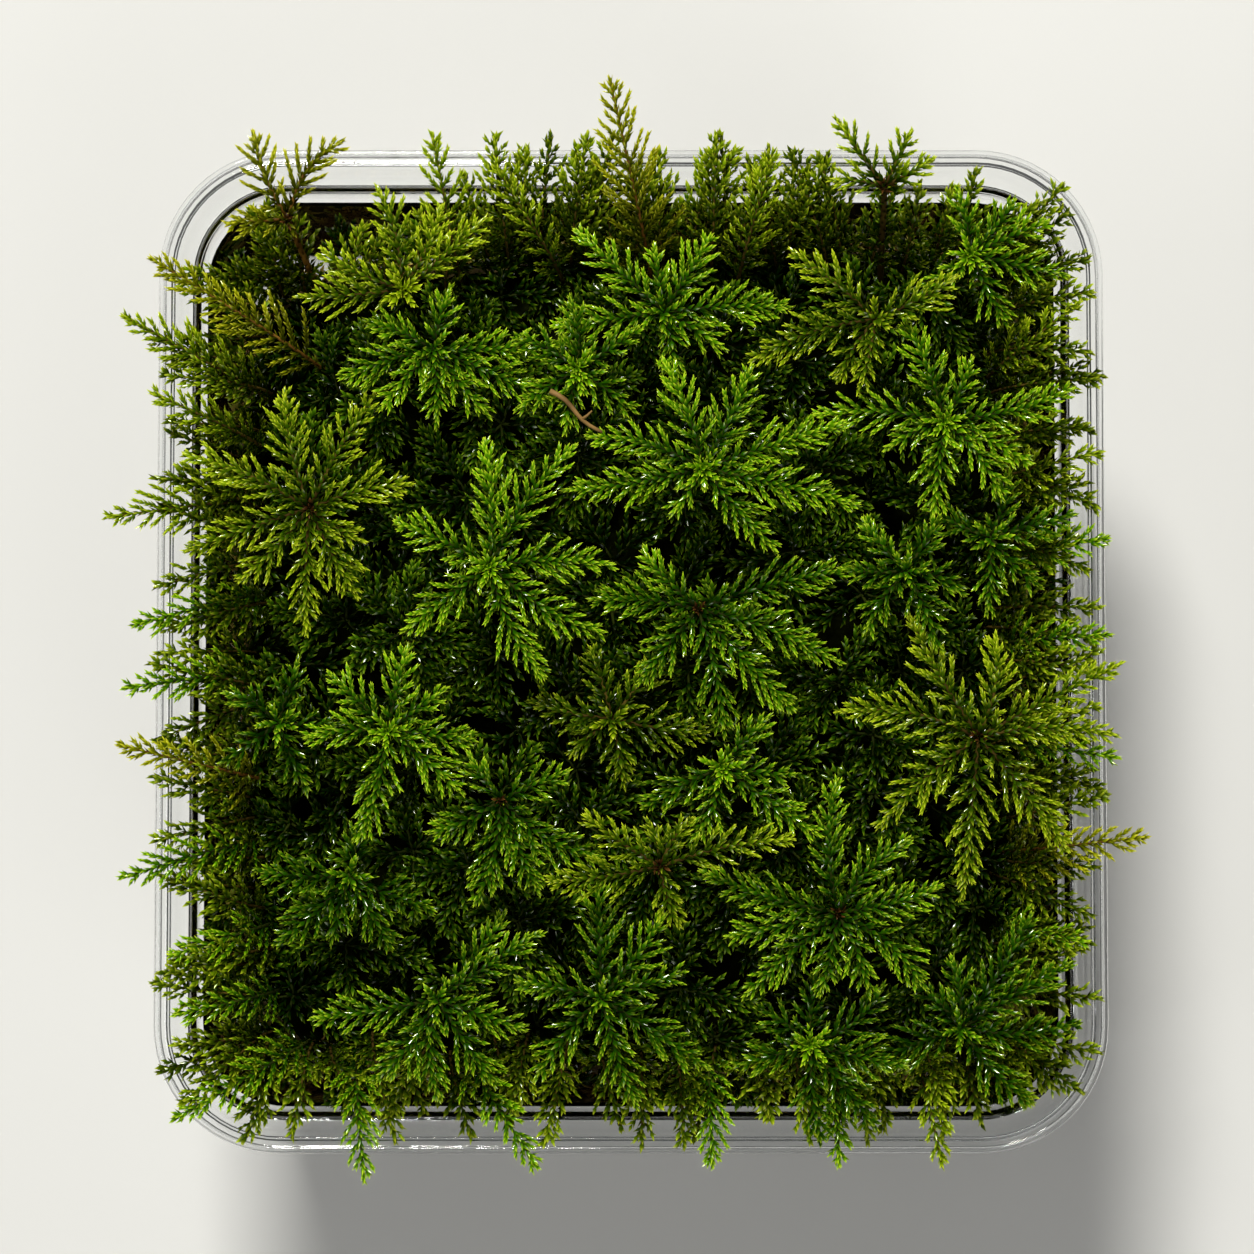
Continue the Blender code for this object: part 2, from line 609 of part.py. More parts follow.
def join_side(bm, lower, upper, k, reach):
    """The faces of an axis beside its corner k. Where a side branch grows there, it is a spike."""
    above, below = (k + 1) % 4, (k - 1) % 4
    if not reach:
        bm.faces.new((lower[k], upper[k], upper[above], lower[above]))
        bm.faces.new((lower[below], upper[below], upper[k], lower[k]))
        return
    middle = (lower[k].co + upper[k].co) / 2
    core = (lower[above].co + upper[above].co + lower[below].co + upper[below].co) / 4
    outwards = (middle - core).normalized()
    ahead = (upper[k].co - lower[k].co).normalized()
    upwards = (lower[above].co - lower[below].co).normalized() * FROND_BRANCH_HALF_THICKNESS
    lean = outwards * math.sin(FROND_BRANCH_LEAN) + ahead * math.cos(FROND_BRANCH_LEAN)
    roof = bm.verts.new(middle + upwards)
    floor = bm.verts.new(middle - upwards)
    spike = bm.verts.new(middle + (lean - Vector((0, 0, FROND_BRANCH_DROP))) * reach)
    bm.faces.new((lower[k], roof, upper[k], upper[above], lower[above]))
    bm.faces.new((lower[below], upper[below], upper[k], floor, lower[k]))
    for near, far in ((lower[k], roof), (roof, upper[k]), (upper[k], floor), (floor, lower[k])):
        bm.faces.new((near, spike, far))


def build_shoots(mat):
    """Every frond and star, each where those before it leave room."""
    materials = {
        tint: finish_material("moss_" + tint, color, 0.45) for tint, color in TINTS.items()
    }
    clump = Clump(mat)
    for number, frond in enumerate(FRONDS, 1):
        settled = settle_frond(frond, clump)
        if settled is None:
            print(f"frond {number} finds no room")
            continue
        clump.take(*frond_room(*settled, frond.spread))
        build_frond(f"edge_frond_{number:02d}", *settled, frond.spread, materials[frond.tint])
    for number, star in enumerate(STARS, 1):
        settled = settle_star(star, clump)
        if settled is None:
            print(f"star {number} finds no room")
            continue
        _, foot, crown, arms = settled
        clump.take(*stem_room(foot, crown))
        for bearing, length, droop in arms:
            clump.take(*arm_room(crown, way(bearing), length, droop))
        build_star(f"star_shoot_{number:02d}", foot, crown, arms, materials[star.tint])


def main():
    """Builds the whole part."""
    clear_scene()
    build_tray(finish_material("clear_tray", (0.92, 0.95, 0.95, 1.0), 0.06, alpha=0.3))
    mat = build_mat(finish_material("old_growth", (0.06, 0.045, 0.02, 1.0), 0.9))
    bpy.context.view_layer.update()
    build_shoots(mat)


main()
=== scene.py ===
"""The looks of a moss clump: its leafy shoots, the old growth under them and the clear tray that holds it.

Lengths are in millimetres unless a name says otherwise, and every mesh is made in metres.
"""

import json
import logging
import math
from collections.abc import Callable
from dataclasses import dataclass, field
from enum import Enum

import bmesh
import bpy
import numpy as np
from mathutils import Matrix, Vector, noise
from mathutils.bvhtree import BVHTree


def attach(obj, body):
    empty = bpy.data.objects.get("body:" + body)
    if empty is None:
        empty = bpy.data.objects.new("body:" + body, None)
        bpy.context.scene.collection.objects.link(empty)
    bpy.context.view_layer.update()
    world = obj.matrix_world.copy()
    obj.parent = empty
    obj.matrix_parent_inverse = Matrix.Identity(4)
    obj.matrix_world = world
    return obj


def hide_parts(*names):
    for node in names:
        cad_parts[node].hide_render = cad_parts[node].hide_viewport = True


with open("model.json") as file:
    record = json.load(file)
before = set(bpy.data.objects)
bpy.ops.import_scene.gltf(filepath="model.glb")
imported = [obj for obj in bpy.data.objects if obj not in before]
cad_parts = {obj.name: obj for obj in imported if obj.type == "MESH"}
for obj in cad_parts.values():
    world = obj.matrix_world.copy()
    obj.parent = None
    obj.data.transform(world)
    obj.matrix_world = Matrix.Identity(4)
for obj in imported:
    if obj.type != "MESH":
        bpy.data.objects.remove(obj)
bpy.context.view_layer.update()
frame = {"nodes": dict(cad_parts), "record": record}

LOG = logging.getLogger("moss_clump")
Array = np.ndarray
Color = tuple[float, float, float]
Span = tuple[float, float]
Reach = Callable[[float], float]

MM = 0.001
ROOT = "root"
UP = np.array([0.0, 0.0, 1.0])
RIGHT = np.array([1.0, 0.0, 0.0])
LEVEL = np.array([1.0, 1.0, 0.0])
GOLDEN_TURN = math.radians(137.5)

# The seed of all chances, and the first seed of each kind of piece. The stars' seeds are their numbers.
SEED = 4711
FROND_SEED, PLACES_SEED, UNDERGROWTH_SEED = 100, 900, 910
FRINGE_SEED, STEM_SEED, BRANCHLET_SEED, DEAD_TWIG_SEED = 930, 950, 960, 970

# The tray and the shapes of the shoots repeat the source's own values.
TRAY_WIDTH = 120.0
TRAY_LENGTH = 127.0
TRAY_HEIGHT = 55.0
TRAY_CORNER_RADIUS = 16.0
TRAY_WALL = 0.6
HUB_RADIUS = 1.7
HUB_TOP = 1.6
ARM_ARCH = 0.24
FROND_RISE = 1.15
FROND_SHOULDER_OUT = 0.02
FROND_NECK_BACK = 0.5
FROND_NECK_LIFT = 0.6
FROND_BRANCH_LENGTH = 4.3
# How long the side branches of the broad fronds are, as a share of the usual length.
FROND_SPREADS = {1: 1.3, 2: 1.3, 4: 1.3, 7: 1.2, 8: 1.2, 11: 1.3, 12: 1.4, 14: 1.6, 21: 1.2}

# Corners of a solid that are no further apart in height than this are on one level.
SAME_LEVEL = 0.01


class Tint(Enum):
    """The colour families of the shoots. Each value is the record's material slot."""

    GREEN = "green_moss"
    OLIVE = "olive_moss"
    AMBER = "amber_moss"


class Centre(Enum):
    """What the middle of a star shows."""

    BRIGHT = "a tuft of young tips"
    PLAIN = "a few short green twigs"
    BROWN = "the bare brown end of the stem"


# The centres that the stars show, by the star's number. The others are plain.
CENTRES = {
    Centre.BRIGHT: (2, 4, 1, 6, 13, 17, 22, 26, 28),
    Centre.BROWN: (3, 5, 7, 10, 12, 15, 20, 23),
}

# How fresh the stars are, against the usual star, with painted light and shade in it: the stars at the back
# are lighter and those at the front darker. The rest are usual.
VIGOURS_AND_PAINTED_LIGHT = {
    1: 1.15, 2: 1.25, 4: 1.25, 6: 1.05, 7: 0.84, 8: 0.76, 9: 0.84, 10: 0.9, 11: 1.1, 13: 1.15, 14: 1.2,
    17: 1.05, 18: 0.74, 19: 0.72, 20: 0.78, 21: 0.66, 22: 0.8, 24: 0.5, 25: 0.56, 26: 0.56, 27: 0.5, 28: 0.85,
}


# Directions, paths and objects


def unit(vectors: Array) -> Array:
    """Scales one vector, or rows of them, to length one."""
    return vectors / np.maximum(np.linalg.norm(vectors, axis=-1, keepdims=True), 1e-9)


def way(bearing: float) -> Array:
    """The level direction of a bearing in degrees, from +X towards +Y."""
    angle = math.radians(bearing)
    return np.array([math.cos(angle), math.sin(angle), 0.0])


def leaning(bearing: float, lean: float) -> Array:
    """The direction that leans off the upright by an angle in radians, towards a bearing in degrees."""
    return way(bearing) * math.sin(lean) + UP * math.cos(lean)


def path_length(path: Array) -> float:
    """How long a path is."""
    return float(np.linalg.norm(np.diff(path, axis=0), axis=1).sum())


def along_path(path: Array, shares: Array) -> tuple[Array, Array]:
    """Reads places and directions off a path.

    Args:
        path: The path's points, in order.
        shares: How far along each place is, from 0 to 1.

    Returns:
        The places, and the path's direction at each.
    """
    steps = np.linalg.norm(np.diff(path, axis=0), axis=1)
    reached = np.concatenate([[0.0], np.cumsum(steps)])
    reached /= reached[-1]
    slopes = unit(np.gradient(path, axis=0))
    places = np.stack([np.interp(shares, reached, path[:, k]) for k in range(3)], axis=1)
    directions = np.stack([np.interp(shares, reached, slopes[:, k]) for k in range(3)], axis=1)
    return places, unit(directions)


def arched(foot: Array, shoulder: Array, neck: Array, tip: Array, number: int) -> Array:
    """Bends a path over from its foot to its tip.

    Args:
        foot: Where it starts.
        shoulder: The point that it leaves the foot for.
        neck: The point that it comes from to the tip.
        tip: Where it ends.
        number: How many points it has.

    Returns:
        Its points.
    """
    shares = np.linspace(0, 1, number)[:, None]
    rest = 1 - shares
    bends = shoulder * 3 * shares * rest**2 + neck * 3 * shares**2 * rest
    return foot * rest**3 + bends + tip * shares**3


def arm_rise(length: float, droop: float, shares: Array) -> Array:
    """How high a star's branch stands over its crown, at shares of its length."""
    return length * (ARM_ARCH * shares - (ARM_ARCH + droop) * shares**2)


def blade(shares: tuple[float, ...], reaches: tuple[float, ...]) -> Reach:
    """Gives the outline of a branch.

    Args:
        shares: Places along the branch, as shares of its length.
        reaches: How far its twigs reach to the side at each place.

    Returns:
        The reach at any share of the length.
    """

    def reach(share: float) -> float:
        """The reach at one share of the length."""
        return float(np.interp(share, shares, reaches))

    return reach


def linked(name: str, data: bpy.types.ID) -> bpy.types.Object:
    """Puts a mesh, lamp or camera in the scene, and reports each mesh.

    Args:
        name: The object's name.
        data: The mesh, lamp or camera.

    Returns:
        The object.
    """
    made = bpy.data.objects.new(name, data)
    bpy.context.scene.collection.objects.link(made)
    if isinstance(data, bpy.types.Mesh):
        LOG.info("%s: %d faces", name, len(data.polygons))
    return made


# Finishes


def rgba(value: object) -> object:
    """A colour of three numbers with its opacity, and any other value as it is."""
    return (*value, 1.0) if isinstance(value, tuple) else value


class NodeSheet:
    """A node tree with short ways to add and join its nodes."""

    def __init__(self, tree: bpy.types.NodeTree) -> None:
        """Takes the tree that the nodes go in."""
        self.tree = tree

    def add(self, kind: str, inputs: dict | None = None, **settings: object) -> bpy.types.Node:
        """Adds a node.

        Args:
            kind: The node's type without its ShaderNode prefix.
            inputs: For each input, by name or number, a value or the socket that feeds it.
            settings: The node's own properties.

        Returns:
            The new node.
        """
        node = self.tree.nodes.new(kind if kind.startswith("Node") else "ShaderNode" + kind)
        for name, value in settings.items():
            setattr(node, name, value)
        for name, value in (inputs or {}).items():
            if isinstance(value, bpy.types.NodeSocket):
                self.tree.links.new(value, node.inputs[name])
            else:
                node.inputs[name].default_value = value
        return node

    def value(self, operation: str, *operands: object) -> bpy.types.NodeSocket:
        """The result of a Math node with these operands."""
        return self.add("Math", dict(enumerate(operands)), operation=operation).outputs[0]

    def rise(self, value: object, span: Span) -> bpy.types.NodeSocket:
        """A smooth rise from 0 to 1 as the value goes through a span."""
        inputs = {"Value": value, "From Min": span[0], "From Max": span[1], "To Max": 1.0}
        return self.add("MapRange", inputs, interpolation_type="SMOOTHSTEP").outputs[0]

    def blend(self, factor: object, first: object, second: object, how: str = "MIX") -> bpy.types.NodeSocket:
        """The result of a Mix node on two colours."""
        inputs = {0: factor, 6: first, 7: second}
        return self.add("Mix", inputs, data_type="RGBA", blend_type=how).outputs[2]

    def grain(self, place: object, scale: object, detail: float) -> bpy.types.NodeSocket:
        """The height of a Noise Texture node at a place."""
        inputs = {"Vector": place, "Scale": scale, "Detail": detail}
        return self.add("TexNoise", inputs).outputs[0]


def new_group(name: str, inputs: dict[str, object], outputs: dict[str, str]) -> tuple[NodeSheet, dict]:
    """Starts a node group with named inputs and outputs.

    Args:
        name: The group's name.
        inputs: For each input its default: a colour, or a number.
        outputs: For each output its socket type.

    Returns:
        The sheet to lay nodes on, and the group's input sockets by name.
    """
    group = bpy.data.node_groups.new(name, "ShaderNodeTree")
    for label, default in inputs.items():
        kind = "NodeSocketColor" if isinstance(default, tuple) else "NodeSocketFloat"
        socket = group.interface.new_socket(label, in_out="INPUT", socket_type=kind)
        socket.default_value = rgba(default)
    for label, kind in outputs.items():
        group.interface.new_socket(label, in_out="OUTPUT", socket_type=kind)
    sheet = NodeSheet(group)
    entry = sheet.add("NodeGroupInput")
    return sheet, {label: entry.outputs[label] for label in inputs}


def close_group(sheet: NodeSheet, **results: bpy.types.NodeSocket) -> bpy.types.NodeTree:
    """Joins a group's results to its outputs, and returns the group."""
    sheet.add("NodeGroupOutput", results)
    return sheet.tree


@dataclass(frozen=True)
class LeafTones:
    """How leaves are coloured by their age, by the place along the leaf and by chance.

    Each span is where a smooth rise starts and ends. The base light is how light a leaf is at its base,
    against its
    tip: painted shade, where the next leaves cover the base. A leaf's pale end is its paler young tip and
    partly a
    painted highlight. Some leaves are wet: their tips carry a film of water.
    """

    age_spread: float = 0.2
    grown: Span = (0.0, 0.5)
    fresh: Span = (0.42, 1.0)
    pale_and_highlight_end: Span = (0.4, 1.05)
    pale_age: Span = (0.05, 0.85)
    open_part: Span = (0.0, 0.6)
    painted_base_light: float = 0.56
    light_spread: float = 0.22
    wet_chance: Span = (0.58, 0.78)
    wet_end: Span = (0.3, 0.7)

    def group(self) -> bpy.types.NodeTree:
        """Builds the group.

        Returns:
            The group, which puts out a leaf's colour and how much of its surface is wet.
        """
        colors = {"Deep": (0.0, 0.0, 0.0), "Body": (0.0, 0.1, 0.0), "Bright": (0.1, 0.4, 0.0)}
        plain = {**colors, "Tip": (0.5, 0.6, 0.1), "Tip Share": 0.8}
        sheet, given = new_group("leaf_tones", plain, {"Color": "NodeSocketColor", "Wet": "NodeSocketFloat"})
        along, youth, chance = (
            sheet.add("Attribute", attribute_name=label).outputs["Fac"] for label in Foliage.TONES
        )
        shift = sheet.value("MULTIPLY_ADD", chance, self.age_spread, -self.age_spread / 2)
        age = sheet.value("ADD", youth, shift)
        body = sheet.blend(sheet.rise(age, self.grown), given["Deep"], given["Body"])
        green = sheet.blend(sheet.rise(age, self.fresh), body, given["Bright"])
        # Pale young tips, partly a painted highlight.
        pale_tip_and_highlight = sheet.value("MULTIPLY", sheet.rise(along, self.pale_and_highlight_end), sheet.rise(age, self.pale_age))
        tipped = sheet.blend(sheet.value("MULTIPLY", pale_tip_and_highlight, given["Tip Share"]), green, given["Tip"])
        # Painted shade: each leaf is darker at its base, where the next leaves cover it.
        opened = sheet.rise(along, self.open_part)
        base_shade = sheet.value("MULTIPLY_ADD", opened, 1 - self.painted_base_light, self.painted_base_light)
        luck = sheet.value("MULTIPLY_ADD", chance, self.light_spread, 1 - self.light_spread / 2)
        light = sheet.value("MULTIPLY", luck, base_shade)
        shade = sheet.add("CombineColor", {0: light, 1: light, 2: light}).outputs[0]
        color = sheet.blend(1.0, tipped, shade, "MULTIPLY")
        wet = sheet.value("MULTIPLY", sheet.rise(chance, self.wet_chance), sheet.rise(along, self.wet_end))
        return close_group(sheet, Color=color, Wet=wet)


@dataclass(frozen=True)
class FibreTones:
    """How stems and old growth are coloured: in two colours, with fine streaks in broad patches."""

    streaks: Span = (0.35, 0.75)
    streak_detail: float = 4.0
    patches: Span = (0.3, 0.7)
    patch_scale: float = 90.0
    patch_detail: float = 2.0

    def group(self) -> bpy.types.NodeTree:
        """Builds the group.

        Returns:
            The group, which puts out the colour and the height of the relief.
        """
        plain = {"Dark": (0.01, 0.01, 0.0), "Light": (0.1, 0.07, 0.02), "Scale": 400.0, "Stretch": 0.15}
        outputs = {"Color": "NodeSocketColor", "Relief": "NodeSocketFloat"}
        sheet, given = new_group("fibre_tones", plain, outputs)
        place = sheet.add("TexCoord").outputs["Object"]
        squeeze = sheet.add("CombineXYZ", {0: 1.0, 1: 1.0, 2: given["Stretch"]}).outputs[0]
        stretched = sheet.add("VectorMath", {0: place, 1: squeeze}, operation="MULTIPLY").outputs[0]
        fine = sheet.grain(stretched, given["Scale"], self.streak_detail)
        broad = sheet.grain(place, self.patch_scale, self.patch_detail)
        both = sheet.value("MULTIPLY", sheet.rise(fine, self.streaks), sheet.rise(broad, self.patches))
        return close_group(sheet, Color=sheet.blend(both, given["Dark"], given["Light"]), Relief=fine)


@dataclass(frozen=True)
class MouldingRipple:
    """The slight waves of formed sheet plastic."""

    scale: float = 60.0
    detail: float = 1.0

    def group(self) -> bpy.types.NodeTree:
        """Builds the group.

        Returns:
            The group, which puts out the height of the relief.
        """
        sheet, given = new_group("moulding_ripple", {"Wave Scale": self.scale}, {"Relief": "NodeSocketFloat"})
        place = sheet.add("TexCoord").outputs["Object"]
        return close_group(sheet, Relief=sheet.grain(place, given["Wave Scale"], self.detail))


@dataclass(frozen=True)
class Groups:
    """The node groups that the finishes share."""

    leaf: bpy.types.NodeTree = field(default_factory=lambda: LeafTones().group())
    fibre: bpy.types.NodeTree = field(default_factory=lambda: FibreTones().group())
    ripple: bpy.types.NodeTree = field(default_factory=lambda: MouldingRipple().group())


@dataclass
class Surface:
    """A new material with one Principled BSDF."""

    name: str
    material: bpy.types.Material = field(init=False)
    sheet: NodeSheet = field(init=False)
    shader: bpy.types.Node = field(init=False)

    def __post_init__(self) -> None:
        """Makes the material."""
        self.material = bpy.data.materials.new(self.name)
        self.material.use_nodes = True
        self.sheet = NodeSheet(self.material.node_tree)
        self.shader = self.material.node_tree.nodes["Principled BSDF"]

    def put(self, values: dict[str, object]) -> None:
        """Sets the shader's own values, with colours given as three numbers."""
        for label, value in values.items():
            self.shader.inputs[label].default_value = rgba(value)

    def feed(self, label: str, socket: bpy.types.NodeSocket) -> None:
        """Joins a socket to one of the shader's inputs."""
        self.sheet.tree.links.new(socket, self.shader.inputs[label])

    def place(self, group: bpy.types.NodeTree, values: dict[str, object]) -> bpy.types.Node:
        """Adds a group node.

        Args:
            group: The group.
            values: What its inputs are, with colours given as three numbers.

        Returns:
            The node.
        """
        node = self.sheet.add("Group", node_tree=group)
        for label, value in values.items():
            node.inputs[label].default_value = rgba(value)
        return node

    def emboss(self, relief: bpy.types.NodeSocket, depth: float) -> None:
        """Presses a relief of a depth into the surface."""
        self.feed("Normal", self.sheet.add("Bump", {"Height": relief, "Distance": depth * MM}).outputs[0])


@dataclass(frozen=True)
class LeafFinish:
    """The colours of one tint's leaves, from the old ones, dark with age and painted shade, to the tips of
    the young ones, pale with youth and partly a painted highlight.
    """

    name: str
    deep: Color
    body: Color
    bright: Color
    tip: Color
    tip_share: float = 0.75
    roughness: float = 0.45
    specular: float = 0.0
    film_roughness: float = 0.12

    def material(self, groups: Groups) -> bpy.types.Material:
        """Makes the material.

        Args:
            groups: The shared node groups.

        Returns:
            The material of these leaves.
        """
        surface = Surface(self.name)
        values = {"Deep": self.deep, "Body": self.body, "Bright": self.bright, "Tip": self.tip}
        tones = surface.place(groups.leaf, {**values, "Tip Share": self.tip_share})
        surface.feed("Base Color", tones.outputs["Color"])
        surface.feed("Coat Weight", tones.outputs["Wet"])
        surface.put({"Roughness": self.roughness, "Specular IOR Level": self.specular})
        surface.put({"Coat Roughness": self.film_roughness})
        return surface.material


@dataclass(frozen=True)
class FibreFinish:
    """The browns and greens of stems, twigs and old growth."""

    name: str
    dark: Color
    light: Color
    scale: float = 400.0
    stretch: float = 0.15
    roughness: float = 0.75
    relief: float = 0.15
    specular: float = 0.05

    def material(self, groups: Groups) -> bpy.types.Material:
        """Makes the material.

        Args:
            groups: The shared node groups.

        Returns:
            The material of these fibres.
        """
        surface = Surface(self.name)
        values = {"Dark": self.dark, "Light": self.light, "Scale": self.scale, "Stretch": self.stretch}
        tones = surface.place(groups.fibre, values)
        surface.feed("Base Color", tones.outputs["Color"])
        surface.emboss(tones.outputs["Relief"], self.relief)
        surface.put({"Roughness": self.roughness, "Specular IOR Level": self.specular})
        return surface.material


@dataclass(frozen=True)
class PlasticFinish:
    """Clear formed sheet plastic."""

    name: str
    color: Color
    ior: float
    roughness: float
    relief: float

    def material(self, groups: Groups) -> bpy.types.Material:
        """Makes the material.

        Args:
            groups: The shared node groups.

        Returns:
            The clear material.
        """
        surface = Surface(self.name)
        surface.emboss(surface.place(groups.ripple, {}).outputs["Relief"], self.relief)
        surface.put({"Base Color": self.color, "Roughness": self.roughness, "IOR": self.ior})
        surface.put({"Transmission Weight": 1.0})
        return surface.material


@dataclass(frozen=True)
class FloorFinish:
    """The plain pale floor."""

    name: str
    color: Color
    roughness: float

    def material(self) -> bpy.types.Material:
        """Makes the floor's material."""
        surface = Surface(self.name)
        surface.put({"Base Color": self.color, "Roughness": self.roughness})
        return surface.material


LEAF_FINISHES = {
    Tint.GREEN: LeafFinish(
        name="green_leaves",
        deep=(0.0018, 0.010, 0.0001),
        body=(0.0180, 0.081, 0.0002),
        bright=(0.098, 0.258, 0.0005),
        tip=(0.71, 0.90, 0.035),
    ),
    Tint.OLIVE: LeafFinish(
        name="olive_leaves",
        deep=(0.004, 0.010, 0.0001),
        body=(0.031, 0.076, 0.0003),
        bright=(0.166, 0.262, 0.0008),
        tip=(0.78, 0.86, 0.04),
    ),
    Tint.AMBER: LeafFinish(
        name="amber_leaves",
        deep=(0.010, 0.010, 0.0002),
        body=(0.058, 0.074, 0.0005),
        bright=(0.225, 0.252, 0.0010),
        tip=(0.84, 0.80, 0.05),
    ),
}
# A darker copy of the green leaves, for the middle layer under the stars: painted shade.
SHADE_FINISH = LeafFinish(
    name="shaded_leaves",
    deep=(0.0008, 0.0035, 0.0001),
    body=(0.0045, 0.020, 0.0001),
    bright=(0.030, 0.090, 0.0003),
    tip=(0.34, 0.49, 0.02),
    tip_share=0.55,
)
RIM_FINISH = LeafFinish(
    name="rim_leaves",
    deep=(0.003, 0.007, 0.0001),
    body=(0.027, 0.058, 0.0003),
    bright=(0.132, 0.220, 0.001),
    tip=(0.68, 0.75, 0.035),
    tip_share=0.7,
)
WITHERED_FINISH = LeafFinish(
    name="withered_leaves",
    deep=(0.008, 0.003, 0.001),
    body=(0.032, 0.012, 0.003),
    bright=(0.085, 0.034, 0.007),
    tip=(0.26, 0.13, 0.03),
    tip_share=0.6,
)
# Old leaves in their browns and greens, made lighter as painted light, since light reaches them only through
# the clear wall.
OLD_LEAF_LIGHTENED_FINISH = LeafFinish(
    name="old_leaves_painted_light",
    deep=(0.150, 0.085, 0.022),
    body=(0.32, 0.23, 0.045),
    bright=(0.17, 0.30, 0.012),
    tip=(0.62, 0.56, 0.14),
    tip_share=0.5,
)
TWIG_FINISHES = {
    Tint.GREEN: FibreFinish("green_twigs", (0.010, 0.015, 0.001), (0.036, 0.050, 0.003)),
    Tint.OLIVE: FibreFinish("olive_twigs", (0.035, 0.022, 0.003), (0.11, 0.075, 0.010)),
    Tint.AMBER: FibreFinish("amber_twigs", (0.07, 0.030, 0.004), (0.22, 0.11, 0.014), roughness=0.5),
}
# Old stems in their browns, made lighter as painted light, since light reaches them only through the clear
# wall.
OLD_STEM_LIGHTENED_FINISH = FibreFinish(
    "old_stems_painted_light", (0.080, 0.040, 0.013), (0.34, 0.20, 0.070), scale=150.0, stretch=0.3
)
# The old growth's top: dark browns, darkened further as painted shade.
BED_TOP_SHADE_FINISH = FibreFinish(
    "old_growth_bed", (0.0010, 0.0016, 0.0003), (0.008, 0.010, 0.002), 500.0, 0.5, 0.9, 0.5, specular=0.0
)
# Its sides: lighter, as painted light, since light reaches them only through the clear wall.
BED_SIDE_LIGHT_FINISH = FibreFinish(
    "old_growth_side_painted_light", (0.024, 0.018, 0.006), (0.16, 0.115, 0.040), 420.0, 0.9, 0.9, 0.6
)
DEAD_TWIG_FINISH = FibreFinish(
    "dead_twig", (0.09, 0.045, 0.012), (0.34, 0.20, 0.06), 300.0, 0.5, 0.6, specular=0.2
)
PLASTIC_FINISH = PlasticFinish("clear_tray_plastic", (0.975, 0.985, 0.985), 1.46, 0.01, 0.015)
FLOOR_FINISH = FloorFinish("studio_floor", (0.62, 0.62, 0.60), 0.65)


# Leaves and twigs


@dataclass(frozen=True)
class LeafShape:
    """A leaf as corners, each a share of its length, its width and its length again, and triangles."""

    corners: tuple[tuple[float, float, float], ...]
    faces: tuple[tuple[int, int, int], ...]


KEELED_LEAF = LeafShape(
    (
        (0.0, 0.0, 0.0),
        (0.36, 0.5, -0.09),
        (0.38, 0.0, 0.05),
        (0.36, -0.5, -0.09),
        (0.74, 0.0, 0.04),
        (1.0, 0.0, 0.06),
    ),
    ((0, 2, 1), (0, 3, 2), (1, 2, 4), (2, 3, 4), (1, 4, 5), (4, 3, 5)),
)
PLAIN_LEAF = LeafShape(
    ((0.0, 0.0, 0.0), (0.4, 0.5, -0.09), (0.42, 0.0, 0.05), (0.4, -0.5, -0.09), (1.0, 0.0, 0.04)),
    ((0, 2, 1), (0, 3, 2), (1, 2, 4), (2, 3, 4)),
)


@dataclass(frozen=True)
class LeafForm:
    """The size of one kind of leaf, and how it sits on its twig.

    The two spreads are the angle between leaf and twig, in degrees, at the twig's base and at its tip.
    Roundness is how far the leaves over and under a twig stand off it, against those at its sides.
    Facing is how far the leaves turn flat to the branch that bears the twig.
    """

    length: float
    width: float
    spacing: float
    spread_base: float
    spread_tip: float
    roundness: float
    facing: float
    shape: LeafShape = KEELED_LEAF


STAR_LEAF = LeafForm(1.15, 0.42, 0.195, 19.0, 8.0, 0.6, 0.65)
AXIS_LEAF = LeafForm(1.3, 0.54, 0.25, 24.0, 13.0, 1.0, 0.35)
CROWN_LEAF = LeafForm(1.2, 0.60, 0.19, 30.0, 13.0, 0.7, 0.5)
BUD_LEAF = LeafForm(0.8, 0.40, 0.2, 40.0, 20.0, 1.0, 0.2)
FROND_LEAF = LeafForm(1.15, 0.40, 0.215, 25.0, 11.0, 0.6, 0.6)
FROND_AXIS_LEAF = LeafForm(1.20, 0.42, 0.27, 32.0, 18.0, 1.0, 0.3)
SMALL_LEAF = LeafForm(1.25, 0.54, 0.35, 26.0, 11.0, 0.7, 0.45, PLAIN_LEAF)
SMALL_AXIS_LEAF = LeafForm(1.3, 0.56, 0.33, 28.0, 15.0, 1.0, 0.3, PLAIN_LEAF)
OLD_LEAF = LeafForm(1.8, 0.66, 0.60, 36.0, 22.0, 0.8, 0.3, PLAIN_LEAF)
STEM_LEAF = LeafForm(1.5, 0.55, 0.26, 42.0, 34.0, 1.0, 0.1, PLAIN_LEAF)


